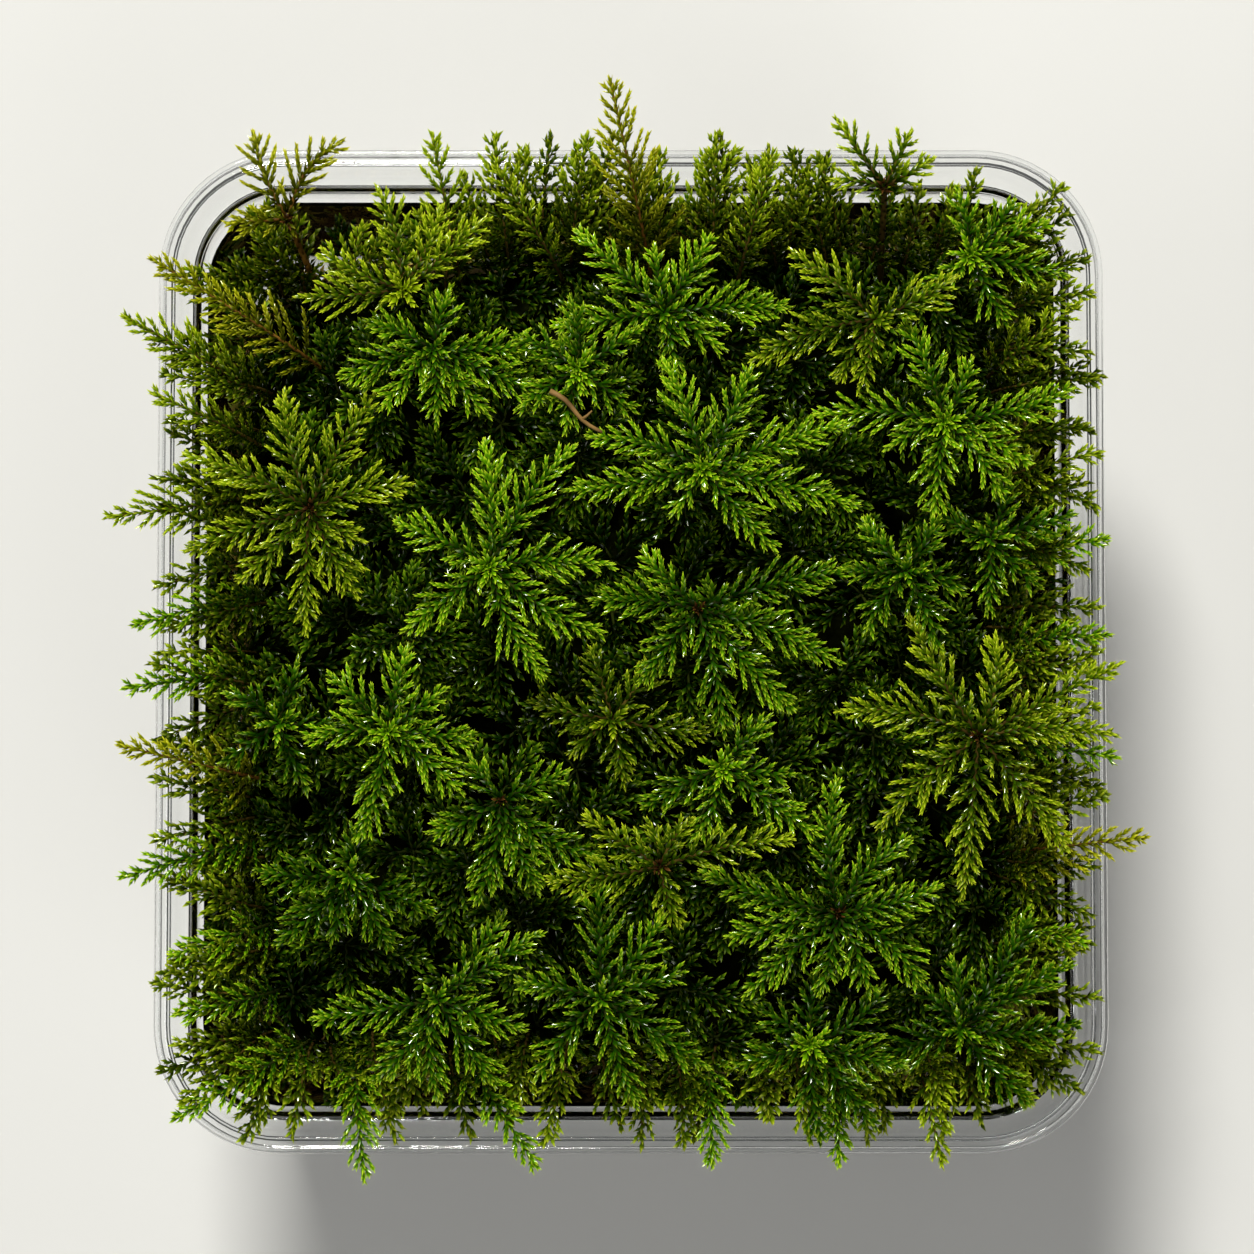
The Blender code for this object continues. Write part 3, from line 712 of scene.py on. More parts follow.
class Foliage:
    """Leaves and twigs gathered into one mesh, with the tones that its materials read.

    Each corner has three tones: the place along its leaf, the leaf's youth and the leaf's own chance.
    """

    TONES = ("along", "youth", "chance")
    # The material slots.
    LEAVES, WOOD, WITHERED = 0, 1, 2
    # How far the leaves' sizes, angles and ages differ.
    LENGTHS, WIDTHS = (0.8, 1.15), (0.85, 1.15)
    SPREAD_DEGREES, YOUTH_SPREAD = 4, 0.05
    FEWEST_LEAVES = 4
    # How late along a twig its leaves close in on it.
    CLOSING = 1.5
    # A direction that hardly any twig has, and the tones that a tube takes; in a leaf's material its place
    # along gives a tube part of the painted shade of a leaf's base.
    TUBE_SIDE = (0.31, 0.27, 0.91)
    TUBE_ALONG, TUBE_CHANCE = 0.3, 0.5

    def __init__(self, seed: int) -> None:
        """Starts with nothing, and with a chance of its own.

        Args:
            seed: The number of its chance.
        """
        self.rng = np.random.default_rng([SEED, seed])
        self.corners: list[Array] = []
        self.faces: list[Array] = []
        self.tones: list[Array] = []
        self.slots: list[Array] = []
        self.count = 0

    def _keep(self, corners: Array, faces: Array, tones: Array, slot: int) -> None:
        """Adds triangles.

        Args:
            corners: Their corners.
            faces: Three numbers of corners for each.
            tones: The tones of each corner.
            slot: Their material slot.
        """
        self.corners.append(corners)
        self.faces.append(faces + self.count)
        self.tones.append(tones)
        self.slots.append(np.full(len(faces), slot, np.int32))
        self.count += len(corners)

    def add_leaves(
        self, roots: Array, forward: Array, facing: Array, form: LeafForm, youth: Array, slot: int = LEAVES
    ) -> None:
        """Adds one leaf at each root.

        Args:
            roots: Where the leaves start.
            forward: The direction of each leaf, of length one.
            facing: The side that each leaf's upper face looks to.
            form: The leaves' kind.
            youth: The age of each, from 0 for old to 1 for new.
            slot: The leaves' material slot.
        """
        number = len(roots)
        across = unit(np.cross(facing, forward))
        over = np.cross(forward, across)
        lengths = form.length * self.rng.uniform(*self.LENGTHS, number)[:, None, None]
        widths = form.width * self.rng.uniform(*self.WIDTHS, number)[:, None, None]
        shape = np.array(form.shape.corners)[None]
        corners = (
            roots[:, None]
            + forward[:, None] * shape[..., 0:1] * lengths
            + across[:, None] * shape[..., 1:2] * widths
            + over[:, None] * shape[..., 2:3] * lengths
        )
        size = shape.shape[1]
        faces = np.array(form.shape.faces)[None] + np.arange(number)[:, None, None] * size
        chance = self.rng.uniform(0, 1, number)
        along = np.tile(shape[0, :, 0], number)
        tones = np.stack([along, np.repeat(youth, size), np.repeat(chance, size)], axis=1)
        self._keep(corners.reshape(-1, 3), faces.reshape(-1, 3), tones, slot)

    def clothe(
        self, path: Array, facing: Array, form: LeafForm, youth: Span, radius: float = 0.0, slot: int = LEAVES
    ) -> None:
        """Sets leaves in a spiral along a twig.

        Args:
            path: The twig's points, from its base to its tip.
            facing: The side that a flat twig turns to the light.
            form: The leaves' kind.
            youth: The age of the leaves at the base and at the tip.
            radius: The twig's radius at its base, where the leaves start on its surface.
            slot: The leaves' material slot.
        """
        number = max(self.FEWEST_LEAVES, int(path_length(path) / form.spacing))
        shares = np.clip((np.arange(number) + self.rng.uniform(0.2, 0.8, number)) / number, 0, 1)
        places, ahead = along_path(path, shares)
        side = unit(np.cross(facing, ahead))
        over = np.cross(ahead, side)
        turn = GOLDEN_TURN * np.arange(number) + self.rng.uniform(0, 2 * math.pi)
        rise = np.sin(turn)[:, None]
        outwards = unit(side * np.cos(turn)[:, None] + over * rise * form.roundness)
        degrees = form.spread_base + (form.spread_tip - form.spread_base) * shares**self.CLOSING
        spread = np.radians(degrees + self.rng.normal(0, self.SPREAD_DEGREES, number))[:, None]
        forward = ahead * np.cos(spread) + outwards * np.sin(spread)
        back = outwards * np.cos(spread) - ahead * np.sin(spread)
        facing_side = back * (1 - form.facing) + over * np.where(rise < 0, -1.0, 1.0) * form.facing
        ages = youth[0] + (youth[1] - youth[0]) * shares + self.rng.normal(0, self.YOUTH_SPREAD, number)
        roots = places + outwards * (radius * (1 - shares))[:, None]
        self.add_leaves(roots, forward, facing_side, form, np.clip(ages, 0, 1), slot)

    def add_tube(self, path: Array, radii: Span, sides: int, youth: float = 0.5, slot: int = WOOD) -> None:
        """Adds a twig as a tapering tube with closed ends.

        Args:
            path: The twig's points.
            radii: Its radius at the first and at the last point.
            sides: How many sides the tube has.
            youth: The tone that it takes in a leaf's material.
            slot: The tube's material slot.
        """
        number = len(path)
        places, ahead = along_path(path, np.linspace(0, 1, number))
        side = unit(np.cross(ahead, self.TUBE_SIDE))
        over = np.cross(ahead, side)
        turns = 2 * math.pi * np.arange(sides) / sides
        ring = side[:, None] * np.cos(turns)[None, :, None] + over[:, None] * np.sin(turns)[None, :, None]
        radius = np.linspace(*radii, number)[:, None, None]
        corners = np.concatenate([(places[:, None] + ring * radius).reshape(-1, 3), path[-1:], path[:1]])
        faces = []
        for k in range(number - 1):
            for i in range(sides):
                a, b = k * sides + i, k * sides + (i + 1) % sides
                faces += [(a, b, b + sides), (a, b + sides, a + sides)]
        last, tip, base = (number - 1) * sides, number * sides, number * sides + 1
        for i in range(sides):
            j = (i + 1) % sides
            faces += [(last + i, last + j, tip), (j, i, base)]
        tones = np.tile([self.TUBE_ALONG, youth, self.TUBE_CHANCE], (len(corners), 1))
        self._keep(corners, np.array(faces), tones, slot)

    def build(self, name: str, materials: list[bpy.types.Material]) -> bpy.types.Object:
        """Makes the object.

        Args:
            name: Its name.
            materials: The leaves' material, then the twigs', then any withered leaves'.

        Returns:
            The object, in metres.
        """
        corners = np.concatenate(self.corners) * MM
        faces = np.concatenate(self.faces)
        mesh = bpy.data.meshes.new(name)
        mesh.vertices.add(len(corners))
        mesh.vertices.foreach_set("co", corners.astype(np.float32).ravel())
        mesh.loops.add(faces.size)
        mesh.loops.foreach_set("vertex_index", faces.astype(np.int32).ravel())
        mesh.polygons.add(len(faces))
        mesh.polygons.foreach_set("loop_start", np.arange(0, faces.size, 3, dtype=np.int32))
        mesh.polygons.foreach_set("loop_total", np.full(len(faces), 3, np.int32))
        for material in materials:
            mesh.materials.append(material)
        mesh.polygons.foreach_set("material_index", np.concatenate(self.slots))
        tones = np.concatenate(self.tones).astype(np.float32)
        for column, label in enumerate(self.TONES):
            tone = mesh.attributes.new(label, "FLOAT", "POINT")
            tone.data.foreach_set("value", np.ascontiguousarray(tones[:, column]))
        mesh.update(calc_edges=True)
        mesh.validate()
        return linked(name, mesh)


@dataclass(frozen=True)
class Habit:
    """How the branches of one kind of shoot grow.

    Twig_step is the distance between the twigs of one side. The first and the last twig stand at shares of
    the branch's length. The leans are the angle between twig and branch, in degrees, at the branch's base and
    at its tip. Sag is how far the twigs hang, forward_bend how far they bend along the branch, and unevenness
    how far apart their lengths are, all as shares of a twig's length. Lift is how far the twigs rise out
    of the branch's plane: the usual slope and its spread. Tip_taper is how wide the pointed end is.
    """

    twig_step: float
    twig_leaf: LeafForm
    axis_leaf: LeafForm
    axis_radii: Span
    first_twig: float
    lean_base: float
    lean_tip: float
    sag: float = 0.08
    unevenness: float = 0.36
    twig_radius: float = 0.0
    tip_taper: float = 0.40
    last_twig: float = 0.98
    lean_spread: float = 6
    step_jitter: float = 0.2
    lift: Span = (0.10, 0.14)
    forward_bend: float = 0.16
    shortest_twig: float = 0.7
    youth_spread: float = 0.05


STAR_HABIT = Habit(1.8, STAR_LEAF, AXIS_LEAF, (0.26, 0.12), 0.07, 54.0, 30.0, twig_radius=0.19)
FROND_HABIT = Habit(1.9, FROND_LEAF, FROND_AXIS_LEAF, (0.28, 0.12), 0.2, 54.0, 34.0, twig_radius=0.19)
SMALL_HABIT = Habit(1.7, SMALL_LEAF, SMALL_AXIS_LEAF, (0.2, 0.08), 0.08, 52.0, 30.0)
FRINGE_HABIT = Habit(1.7, SMALL_LEAF, SMALL_AXIS_LEAF, (0.24, 0.1), 0.2, 52.0, 32.0)
OLD_HABIT = Habit(2.2, OLD_LEAF, OLD_LEAF, (0.2, 0.1), 0.1, 50.0, 32.0, 0.0, 0.3, tip_taper=0.5)


@dataclass
class Branch:
    """A flat, feathered branch: an axis with leafy twigs on both sides.

    Half_width gives how far its twigs reach to the side at a share of its length. Youth is the age of
    its first and of its last twigs. Face is the way that its upper side looks.
    """

    path: Array
    half_width: Reach
    youth: Span
    habit: Habit
    face: Array = field(default_factory=lambda: UP)

    # The two sides, and where in each step their twigs stand.
    HANDS = ((1, 0.25), (-1, 0.75))
    FEWEST_TWIGS = 3
    AXIS_SIDES = 5
    TWIG_POINTS = 5
    TWIG_TAPER = 0.4
    # How old the leaves at the axis's base are, against the first twigs, and how far those at its end are
    # on the way to the last twigs.
    AXIS_BASE_YOUTH, AXIS_END_YOUTH = 0.4, 0.8
    # How old a twig's base is, against the twig, and how much younger its tip is, against the last twigs.
    TWIG_BASE_YOUTH, TWIG_TIP_YOUTH = 0.6, 0.5
    # The tuft at the branch's end: where it starts and stops, and how much younger it is.
    TUFT = (-2.2, 0.15)
    TUFT_YOUTH = 0.25

    def grow(self, foliage: Foliage) -> None:
        """Adds the axis, its twigs and all their leaves.

        Args:
            foliage: What they are added to.
        """
        habit = self.habit
        foliage.add_tube(self.path, habit.axis_radii, self.AXIS_SIDES)
        room = path_length(self.path) * (1 - habit.first_twig)
        number = max(self.FEWEST_TWIGS, round(room / habit.twig_step))
        span = habit.last_twig - habit.first_twig
        for hand, start in self.HANDS:
            shares = habit.first_twig + span * (np.arange(number) + start) / number
            places, ahead = along_path(self.path, shares)
            side = unit(np.cross(self.face, ahead)) * hand
            over = np.cross(ahead, side) * hand
            for place, forward, outwards, above, share in zip(places, ahead, side, over, shares):
                self._grow_twig(foliage, place, forward, outwards, above, share)
        _, ahead = along_path(self.path, np.array([0.5, 1.0]))
        over = np.cross(ahead, unit(np.cross(self.face, ahead)))
        old, new = self.youth
        late = old + (new - old) * self.AXIS_END_YOUTH
        ages = (old * self.AXIS_BASE_YOUTH, late)
        foliage.clothe(self.path, over[0], habit.axis_leaf, ages, habit.axis_radii[0])
        tuft = self.path[-1] + np.linspace(*self.TUFT, 3)[:, None] * ahead[1]
        foliage.clothe(tuft, over[1], habit.twig_leaf, (late, min(1.0, new + self.TUFT_YOUTH)))

    def _grow_twig(
        self, foliage: Foliage, base: Array, ahead: Array, side: Array, over: Array, share: float
    ) -> None:
        """Adds one twig with its leaves.

        Args:
            foliage: What it is added to.
            base: Where it starts.
            ahead: The axis's direction there.
            side: The direction out to the side that it grows on.
            over: The direction up from the branch's face.
            share: How far along the axis it stands.
        """
        rng, habit = foliage.rng, self.habit
        lean = habit.lean_base + (habit.lean_tip - habit.lean_base) * share + rng.normal(0, habit.lean_spread)
        angle = math.radians(lean)
        length = float(np.linalg.norm(self.path[-1] - self.path[0]))
        pointed = (length * (1 - share) + 1.0) * habit.tip_taper / math.cos(angle)
        reach = min(self.half_width(share) / math.sin(angle), pointed)
        reach *= rng.uniform(1 - habit.unevenness, 1 + habit.unevenness / 2)
        if reach < habit.shortest_twig:
            return
        shift = ahead * rng.uniform(-habit.step_jitter, habit.step_jitter) * habit.twig_step
        tilt = rng.normal(*habit.lift)
        aim = ahead * math.cos(angle) + (side + over * tilt) * math.sin(angle)
        steps = np.linspace(0, 1, self.TWIG_POINTS)[:, None]
        path = base + shift + aim * reach * steps
        path = path + (ahead * habit.forward_bend - UP * habit.sag * rng.uniform(0.0, 2.0)) * reach * steps**2
        old, new = self.youth
        here = old + (new - old) * share + rng.normal(0, habit.youth_spread)
        if habit.twig_radius:
            radii = (habit.twig_radius, habit.twig_radius * self.TWIG_TAPER)
            foliage.add_tube(path[::2], radii, 3, here, Foliage.LEAVES)
        tip_youth = min(1.0, here + self.TWIG_TIP_YOUTH * new)
        foliage.clothe(path, over, habit.twig_leaf, (here * self.TWIG_BASE_YOUTH, tip_youth))


# Shoots that stand for nodes of the frame


def corners_of(node: str) -> tuple[Array, list[set[int]]]:
    """Reads a node's shape.

    Args:
        node: The node's name.

    Returns:
        Its corners in millimetres, and for each the corners that share an edge with it.
    """
    mesh = frame["nodes"][node].data
    raw = np.zeros(len(mesh.vertices) * 3, np.float32)
    mesh.vertices.foreach_get("co", raw)
    rounded = np.round(raw.reshape(-1, 3).astype(float) / MM, 3)
    corners, numbers = np.unique(rounded, axis=0, return_inverse=True)
    numbers = numbers.ravel()
    near: list[set[int]] = [set() for _ in corners]
    for edge in mesh.edges:
        a, b = (int(numbers[v]) for v in edge.vertices)
        near[a].add(b)
        near[b].add(a)
    return corners, near


def foot_of(corners: Array) -> Array:
    """The middle of a solid's lowest level."""
    return corners[corners[:, 2] < corners[:, 2].min() + SAME_LEVEL].mean(axis=0)


def slot_of(node: str) -> str:
    """The material slot that the record gives a node."""
    return next(row["material_slot"] for row in frame["record"]["subparts"] if row["node"] == node)


@dataclass(frozen=True)
class Tuft:
    """Short twigs in a star's middle.

    Tilt is how far they lean off the upright, and the two spreads how far they stray from that and from
    their even places round the crown, all in degrees. Lengths are shares of the length, and sag is how far
    they hang, as a share of theirs.
    """

    number: int
    length: float
    tilt: float
    youth: Span
    tilt_spread: float = 9
    turn_spread: float = 10
    lengths: Span = (0.75, 1.1)
    sag: float = 0.3


TUFTS = {
    Centre.BRIGHT: Tuft(7, 2.5, 62.0, (0.75, 1.0)),
    Centre.PLAIN: Tuft(5, 2.3, 68.0, (0.4, 0.75)),
    Centre.BROWN: Tuft(3, 2.0, 78.0, (0.1, 0.4)),
}


@dataclass
class StarShoot:
    """An upright shoot with its branches spread from one crown, read off its node.

    Its vigour is how fresh it is, against the usual star, with painted light and shade in it: it makes the
    stars at the back lighter and those at the front darker. Outline gives how far a branch's twigs reach to
    the side, at shares of the length of a branch that is full_length long or more. The bits are the withered
    leaves of a brown centre, and their tilts are degrees off the upright.
    """

    node: str
    centre: Centre
    vigour_and_painted_light: float = 1.0
    shortest_arm: float = 3.5
    arm_start: float = 0.4
    leaf_past_tip: float = 0.55
    sway: float = 0.035
    inner_youth: float = 0.36
    inner_spread: Span = (-0.10, 0.12)
    outer_youth: float = 0.74
    outer_spread: float = 0.16
    outline: Reach = blade((0.0, 0.12, 0.30, 0.55, 0.78, 1.0), (0.9, 1.8, 2.55, 1.85, 0.95, 0.3))
    full_length: float = 12
    widest_sector: float = 100.0
    overlap: float = 1.1
    least_room: float = 0.3
    stem_radii: Span = (0.45, 0.36)
    tuft_lift: float = 0.2
    bud: Span = (-0.5, 0.6)
    bits: int = 5
    bit_tilts: Span = (15, 75)
    bit_turn_spread: float = 15
    bit_lengths: Span = (0.3, 1.0)
    crown: Array = field(init=False)
    foot: Array = field(init=False)
    arms: list[tuple[float, float, float]] = field(init=False)

    def __post_init__(self) -> None:
        """Finds the crown, the foot and each branch's (bearing, length, droop) on the node."""
        corners, near = corners_of(self.node)
        top = max(range(len(corners)), key=lambda i: len(near[i]))
        self.crown = corners[top] - UP * HUB_TOP
        self.foot = foot_of(corners)
        lowest = corners[:, 2].min() + SAME_LEVEL
        out = np.linalg.norm((corners - self.crown)[:, :2], axis=1)
        self.arms = []
        for i, place in enumerate(corners):
            if place[2] > lowest and out[i] > self.shortest_arm and all(out[j] < out[i] for j in near[i]):
                aim = place - self.crown
                bearing = math.degrees(math.atan2(aim[1], aim[0])) % 360
                self.arms.append((bearing, float(out[i]), -float(aim[2]) / float(out[i])))
        self.arms.sort()

    def _arm_path(self, bearing: float, length: float, droop: float, rng: np.random.Generator) -> Array:
        """Lays the axis of one branch, which sways a little to the side.

        Args:
            bearing: Its direction in degrees.
            length: How far out it reaches.
            droop: How far it hangs at its tip, as a share of its length.
            rng: The shoot's chance.

        Returns:
            Its points.
        """
        shares = np.linspace(0, 1, 9)
        axis_length = length - STAR_LEAF.length * self.leaf_past_tip - self.arm_start
        out = self.arm_start + axis_length * shares
        rise = arm_rise(length, droop, shares)
        sway = np.sin(shares * math.pi) * rng.normal(0, self.sway) * length
        level = out[:, None] * way(bearing)
        return self.crown + level + rise[:, None] * UP + sway[:, None] * way(bearing + 90)

    def _arm_width(self, index: int) -> Reach:
        """Keeps a branch's twigs within its own sector of the star.

        Args:
            index: The branch's number.

        Returns:
            How far its twigs reach to the side at a share of its length.
        """
        bearing, length, _ = self.arms[index]
        before = (bearing - self.arms[index - 1][0]) % 360
        after = (self.arms[(index + 1) % len(self.arms)][0] - bearing) % 360
        sector = math.sin(math.radians(min(before, after, self.widest_sector) / 2))

        def width(share: float) -> float:
            """The reach at a share of the branch's length."""
            room = self.overlap * (HUB_RADIUS + length * share) * sector + self.least_room
            return min(self.outline(share) * min(1.0, length / self.full_length), room)

        return width

    def build(self, number: int, materials: list[bpy.types.Material]) -> bpy.types.Object:
        """Makes the leafy shoot and puts it in its node's place.

        Args:
            number: The seed of its chances.
            materials: Those of its leaves, of its stem and twigs, and of its withered leaves.

        Returns:
            The shoot.
        """
        foliage = Foliage(number)
        rng = foliage.rng
        for index, (bearing, length, droop) in enumerate(self.arms):
            path = self._arm_path(bearing, length, droop, rng)
            inner = self.inner_youth + rng.uniform(*self.inner_spread)
            outer = self.outer_youth + rng.uniform(-self.outer_spread, self.outer_spread)
            # The vigour scales the ages, and so the colours: freshness, with painted light on the back stars
            # and painted shade on the front ones.
            youth = (inner * self.vigour_and_painted_light, min(1.0, outer * self.vigour_and_painted_light))
            Branch(path, self._arm_width(index), youth, STAR_HABIT).grow(foliage)
        self._grow_centre(foliage)
        stem = np.stack([self.foot + (self.crown - self.foot) * t for t in np.linspace(0, 1, 6)])
        foliage.add_tube(stem, self.stem_radii, 6, 0.1)
        foliage.clothe(stem[2:], RIGHT, STEM_LEAF, (0.0, 0.5), self.stem_radii[1])
        shoot = foliage.build(self.node + "_leafy", materials)
        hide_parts(self.node)
        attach(shoot, ROOT)
        return shoot

    def _grow_centre(self, foliage: Foliage) -> None:
        """Adds the tuft, the short twigs or the bare stem end in the star's middle.

        Args:
            foliage: What they are added to.
        """
        rng, tuft = foliage.rng, TUFTS[self.centre]
        top = self.crown + UP * self.tuft_lift
        turn = rng.uniform(0, 360)
        for k in range(tuft.number):
            lean = math.radians(tuft.tilt + rng.normal(0, tuft.tilt_spread))
            aim = leaning(turn + k * 360 / tuft.number + rng.normal(0, tuft.turn_spread), lean)
            reach = tuft.length * rng.uniform(*tuft.lengths)
            steps = np.linspace(0, 1, 4)[:, None]
            path = top + aim * reach * steps - UP * tuft.sag * reach * steps**2
            foliage.clothe(path, unit(UP - aim * 0.3), CROWN_LEAF, tuft.youth)
        if self.centre is Centre.BRIGHT:
            bud = top + UP * np.linspace(*self.bud, 3)[:, None]
            foliage.clothe(bud, RIGHT, CROWN_LEAF, (0.9, 1.0))
        if self.centre is Centre.BROWN:
            for k in range(self.bits):
                lean = math.radians(rng.uniform(*self.bit_tilts))
                aim = leaning(turn + k * 360 / self.bits + rng.normal(0, self.bit_turn_spread), lean)
                bit = top + aim * np.linspace(0.0, rng.uniform(*self.bit_lengths), 3)[:, None]
                foliage.clothe(bit, unit(UP - aim * 0.3), BUD_LEAF, (0.0, 0.8), 0.1, Foliage.WITHERED)


@dataclass
class EdgeFrond:
    """A feathered shoot at the edge that leans out over the rim, read off its node.

    Reach_share is how far its twigs reach, as a share of the solid's side branches. Roundness and power
    shape its outline: the rounder, the fuller it is towards the tip.
    """

    node: str
    youth: Span = (0.30, 0.85)
    leaf_past_tip: float = 0.6
    reach_share: float = 0.80
    roundness: float = 0.6
    power: float = 0.6
    least_reach: float = 0.2
    foot: Array = field(init=False)
    tip: Array = field(init=False)

    def __post_init__(self) -> None:
        """Finds the foot and the tip on the node."""
        corners, _ = corners_of(self.node)
        self.foot = foot_of(corners)
        self.tip = corners[np.argmax(np.linalg.norm((corners - self.foot)[:, :2], axis=1))]

    def _path(self) -> Array:
        """Lays the axis, which leaves the foot upright and arches out to the tip.

        Returns:
            Its points.
        """
        tip = self.tip - unit((self.tip - self.foot) * LEVEL) * FROND_LEAF.length * self.leaf_past_tip
        level = (tip - self.foot) * LEVEL
        shoulder = self.foot + UP * (tip[2] - self.foot[2]) * FROND_RISE + level * FROND_SHOULDER_OUT
        neck = tip - level * FROND_NECK_BACK + UP * FROND_NECK_LIFT
        return arched(self.foot, shoulder, neck, tip, 13)

    def build(self, number: int, leaves: bpy.types.Material, twigs: bpy.types.Material) -> bpy.types.Object:
        """Makes the leafy frond and puts it in its node's place.

        Args:
            number: The frond's number.
            leaves: The leaves' material.
            twigs: The twigs' material.

        Returns:
            The frond.
        """
        foliage = Foliage(FROND_SEED + number)
        reach = self.reach_share * FROND_BRANCH_LENGTH * FROND_SPREADS.get(number, 1.0)

        def width(share: float) -> float:
            """The reach of the side twigs at a share of the frond's length."""
            rest = max(0.0, 1 - share)
            outline = self.roundness * rest**self.power + (1 - self.roundness) * rest
            return reach * outline + self.least_reach

        Branch(self._path(), width, self.youth, FROND_HABIT).grow(foliage)
        frond = foliage.build(self.node + "_leafy", [leaves, twigs])
        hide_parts(self.node)
        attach(frond, ROOT)
        return frond


# Old growth and undergrowth


class Ground:
    """The old growth's surface, for setting things on it."""

    def __init__(self) -> None:
        """Reads the surface off the old growth's node."""
        mesh = frame["nodes"]["old_growth"].data
        corners = [vertex.co / MM for vertex in mesh.vertices]
        self.tree = BVHTree.FromPolygons(corners, [tuple(face.vertices) for face in mesh.polygons])

    def height(self, x: float, y: float) -> float | None:
        """How high the old growth stands at a place, or None beside it."""
        hit = self.tree.ray_cast(Vector((x, y, 2 * TRAY_HEIGHT)), Vector((0, 0, -1)))[0]
        return None if hit is None else hit.z

    def side(self, x: float, y: float, z: float) -> tuple[Array, Array] | None:
        """Looks in level from outside to the middle axis.

        Args:
            x: Where the look starts.
            y: Where it starts.
            z: How high it is.

        Returns:
            The place where it meets the old growth and the outward direction there, or None where it
            misses it.
        """
        hit, normal, _, _ = self.tree.ray_cast(Vector((x, y, z)), Vector((-x, -y, 0)).normalized())
        return None if hit is None else (np.array(hit), unit(np.array([normal.x, normal.y, 0.0])))


@dataclass
class Undergrowth:
    """The middle layer: smaller stars between and under the large ones, younger and lighter the higher they
    stand.

    Low_youth is the age of the first and the last twigs of the lowest star, and the youth and light gain what
    the
    highest star has over it: the low stars are darker, partly as painted shade.
    """

    ground: Ground
    spacing: float = 6.7
    edge_inset: float = 8.0
    tries: int = 8000
    root_depth: float = 0.4
    stem: Span = (1.2, 7.0)
    stem_radii: Span = (0.35, 0.3)
    stem_youth: Span = (0.0, 0.15)
    crown_shift: float = 1.5
    arm: Span = (6.5, 10.5)
    arm_counts: tuple[int, int] = (4, 6)
    arm_turn: float = 10
    shortest_arm: float = 2.5
    droop: Span = (0.0, 0.4)
    rim_inset: float = 6.0
    low_youth: Span = (0.10, 0.40)
    youth_and_light_gain: Span = (0.25, 0.45)
    width: Reach = blade((0.0, 0.3, 0.7, 1.0), (1.5, 2.4, 1.8, 0.4))

    def _places(self) -> list[Span]:
        """Finds places all over the clump that keep their distance from each other.

        Returns:
            The (x, y) of each.
        """
        rng = np.random.default_rng([SEED, PLACES_SEED])
        half_x = TRAY_WIDTH / 2 - self.edge_inset
        half_y = TRAY_LENGTH / 2 - self.edge_inset
        kept: list[Span] = []
        for _ in range(self.tries):
            x, y = rng.uniform(-half_x, half_x), rng.uniform(-half_y, half_y)
            if self.ground.height(x, y) is None:
                continue
            if all((x - u) ** 2 + (y - v) ** 2 > self.spacing**2 for u, v in kept):
                kept.append((x, y))
        return kept

    def _grow_shoot(self, foliage: Foliage, x: float, y: float) -> None:
        """Adds one small star on its stem.

        Args:
            foliage: What it is added to.
            x: Where it stands.
            y: Where it stands.
        """
        rng = foliage.rng
        foot = np.array([x, y, self.ground.height(x, y) - self.root_depth])
        stem = rng.uniform(*self.stem)
        crown = foot + UP * stem + way(rng.uniform(0, 360)) * rng.uniform(0, self.crown_shift)
        path = foot + (crown - foot) * np.linspace(0, 1, 4)[:, None]
        foliage.add_tube(path, self.stem_radii, 4, 0.1)
        foliage.clothe(path, RIGHT, SMALL_AXIS_LEAF, self.stem_youth, self.stem_radii[1])
        number = int(rng.integers(*self.arm_counts))
        turn = rng.uniform(0, 360)
        height = (stem - self.stem[0]) / (self.stem[1] - self.stem[0])
        for k in range(number):
            bearing = turn + k * 360 / number + rng.normal(0, self.arm_turn)
            length = min(rng.uniform(*self.arm), self._room(crown, bearing))
            if length > self.shortest_arm:
                self._grow_arm(foliage, crown, bearing, length, height)

    def _room(self, crown: Array, bearing: float) -> float:
        """Measures how long a branch may be before it meets the tray's wall.

        Args:
            crown: Where the branch starts.
            bearing: Its direction in degrees.

        Returns:
            Its longest length.
        """
        aim = way(bearing)
        rooms = []
        for k, half in enumerate((TRAY_WIDTH / 2, TRAY_LENGTH / 2)):
            if abs(aim[k]) > 0.05:
                rooms.append((math.copysign(half - self.rim_inset, aim[k]) - crown[k]) / aim[k])
        return min(rooms)

    def _grow_arm(
        self, foliage: Foliage, crown: Array, bearing: float, length: float, height: float
    ) -> None:
        """Adds one feathered branch.

        Args:
            foliage: What it is added to.
            crown: Where it starts.
            bearing: Its direction in degrees.
            length: How long it is.
            height: How high its star stands, from 0 for the lowest to 1 for the highest.
        """
        shares = np.linspace(0, 1, 7)
        rise = arm_rise(length, foliage.rng.uniform(*self.droop), shares)
        path = crown + (length * shares)[:, None] * way(bearing) + rise[:, None] * UP
        # Painted shade in part: the lower a star stands, the darker its leaves.
        (old, new), (old_youth_and_light_gain, new_youth_and_light_gain) = self.low_youth, self.youth_and_light_gain
        youth = (old + old_youth_and_light_gain * height, new + new_youth_and_light_gain * height)
        Branch(path, self.width, youth, SMALL_HABIT).grow(foliage)

    def build(self, leaves: bpy.types.Material, twigs: bpy.types.Material) -> None:
        """Makes the undergrowth as four pieces, one for each quarter of the clump.

        Args:
            leaves: The leaves' material.
            twigs: The twigs' material.
        """
        places = self._places()
        LOG.info("undergrowth: %d shoots", len(places))
        fronts = {"front_left": (-1, -1), "front_right": (1, -1)}
        quarters = {**fronts, "back_left": (-1, 1), "back_right": (1, 1)}
        for number, (label, (sx, sy)) in enumerate(quarters.items()):
            foliage = Foliage(UNDERGROWTH_SEED + number)
            for x, y in places:
                if (x > 0) == (sx > 0) and (y > 0) == (sy > 0):
                    self._grow_shoot(foliage, x, y)
            piece = foliage.build("undergrowth_" + label, [leaves, twigs])
            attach(piece, ROOT)


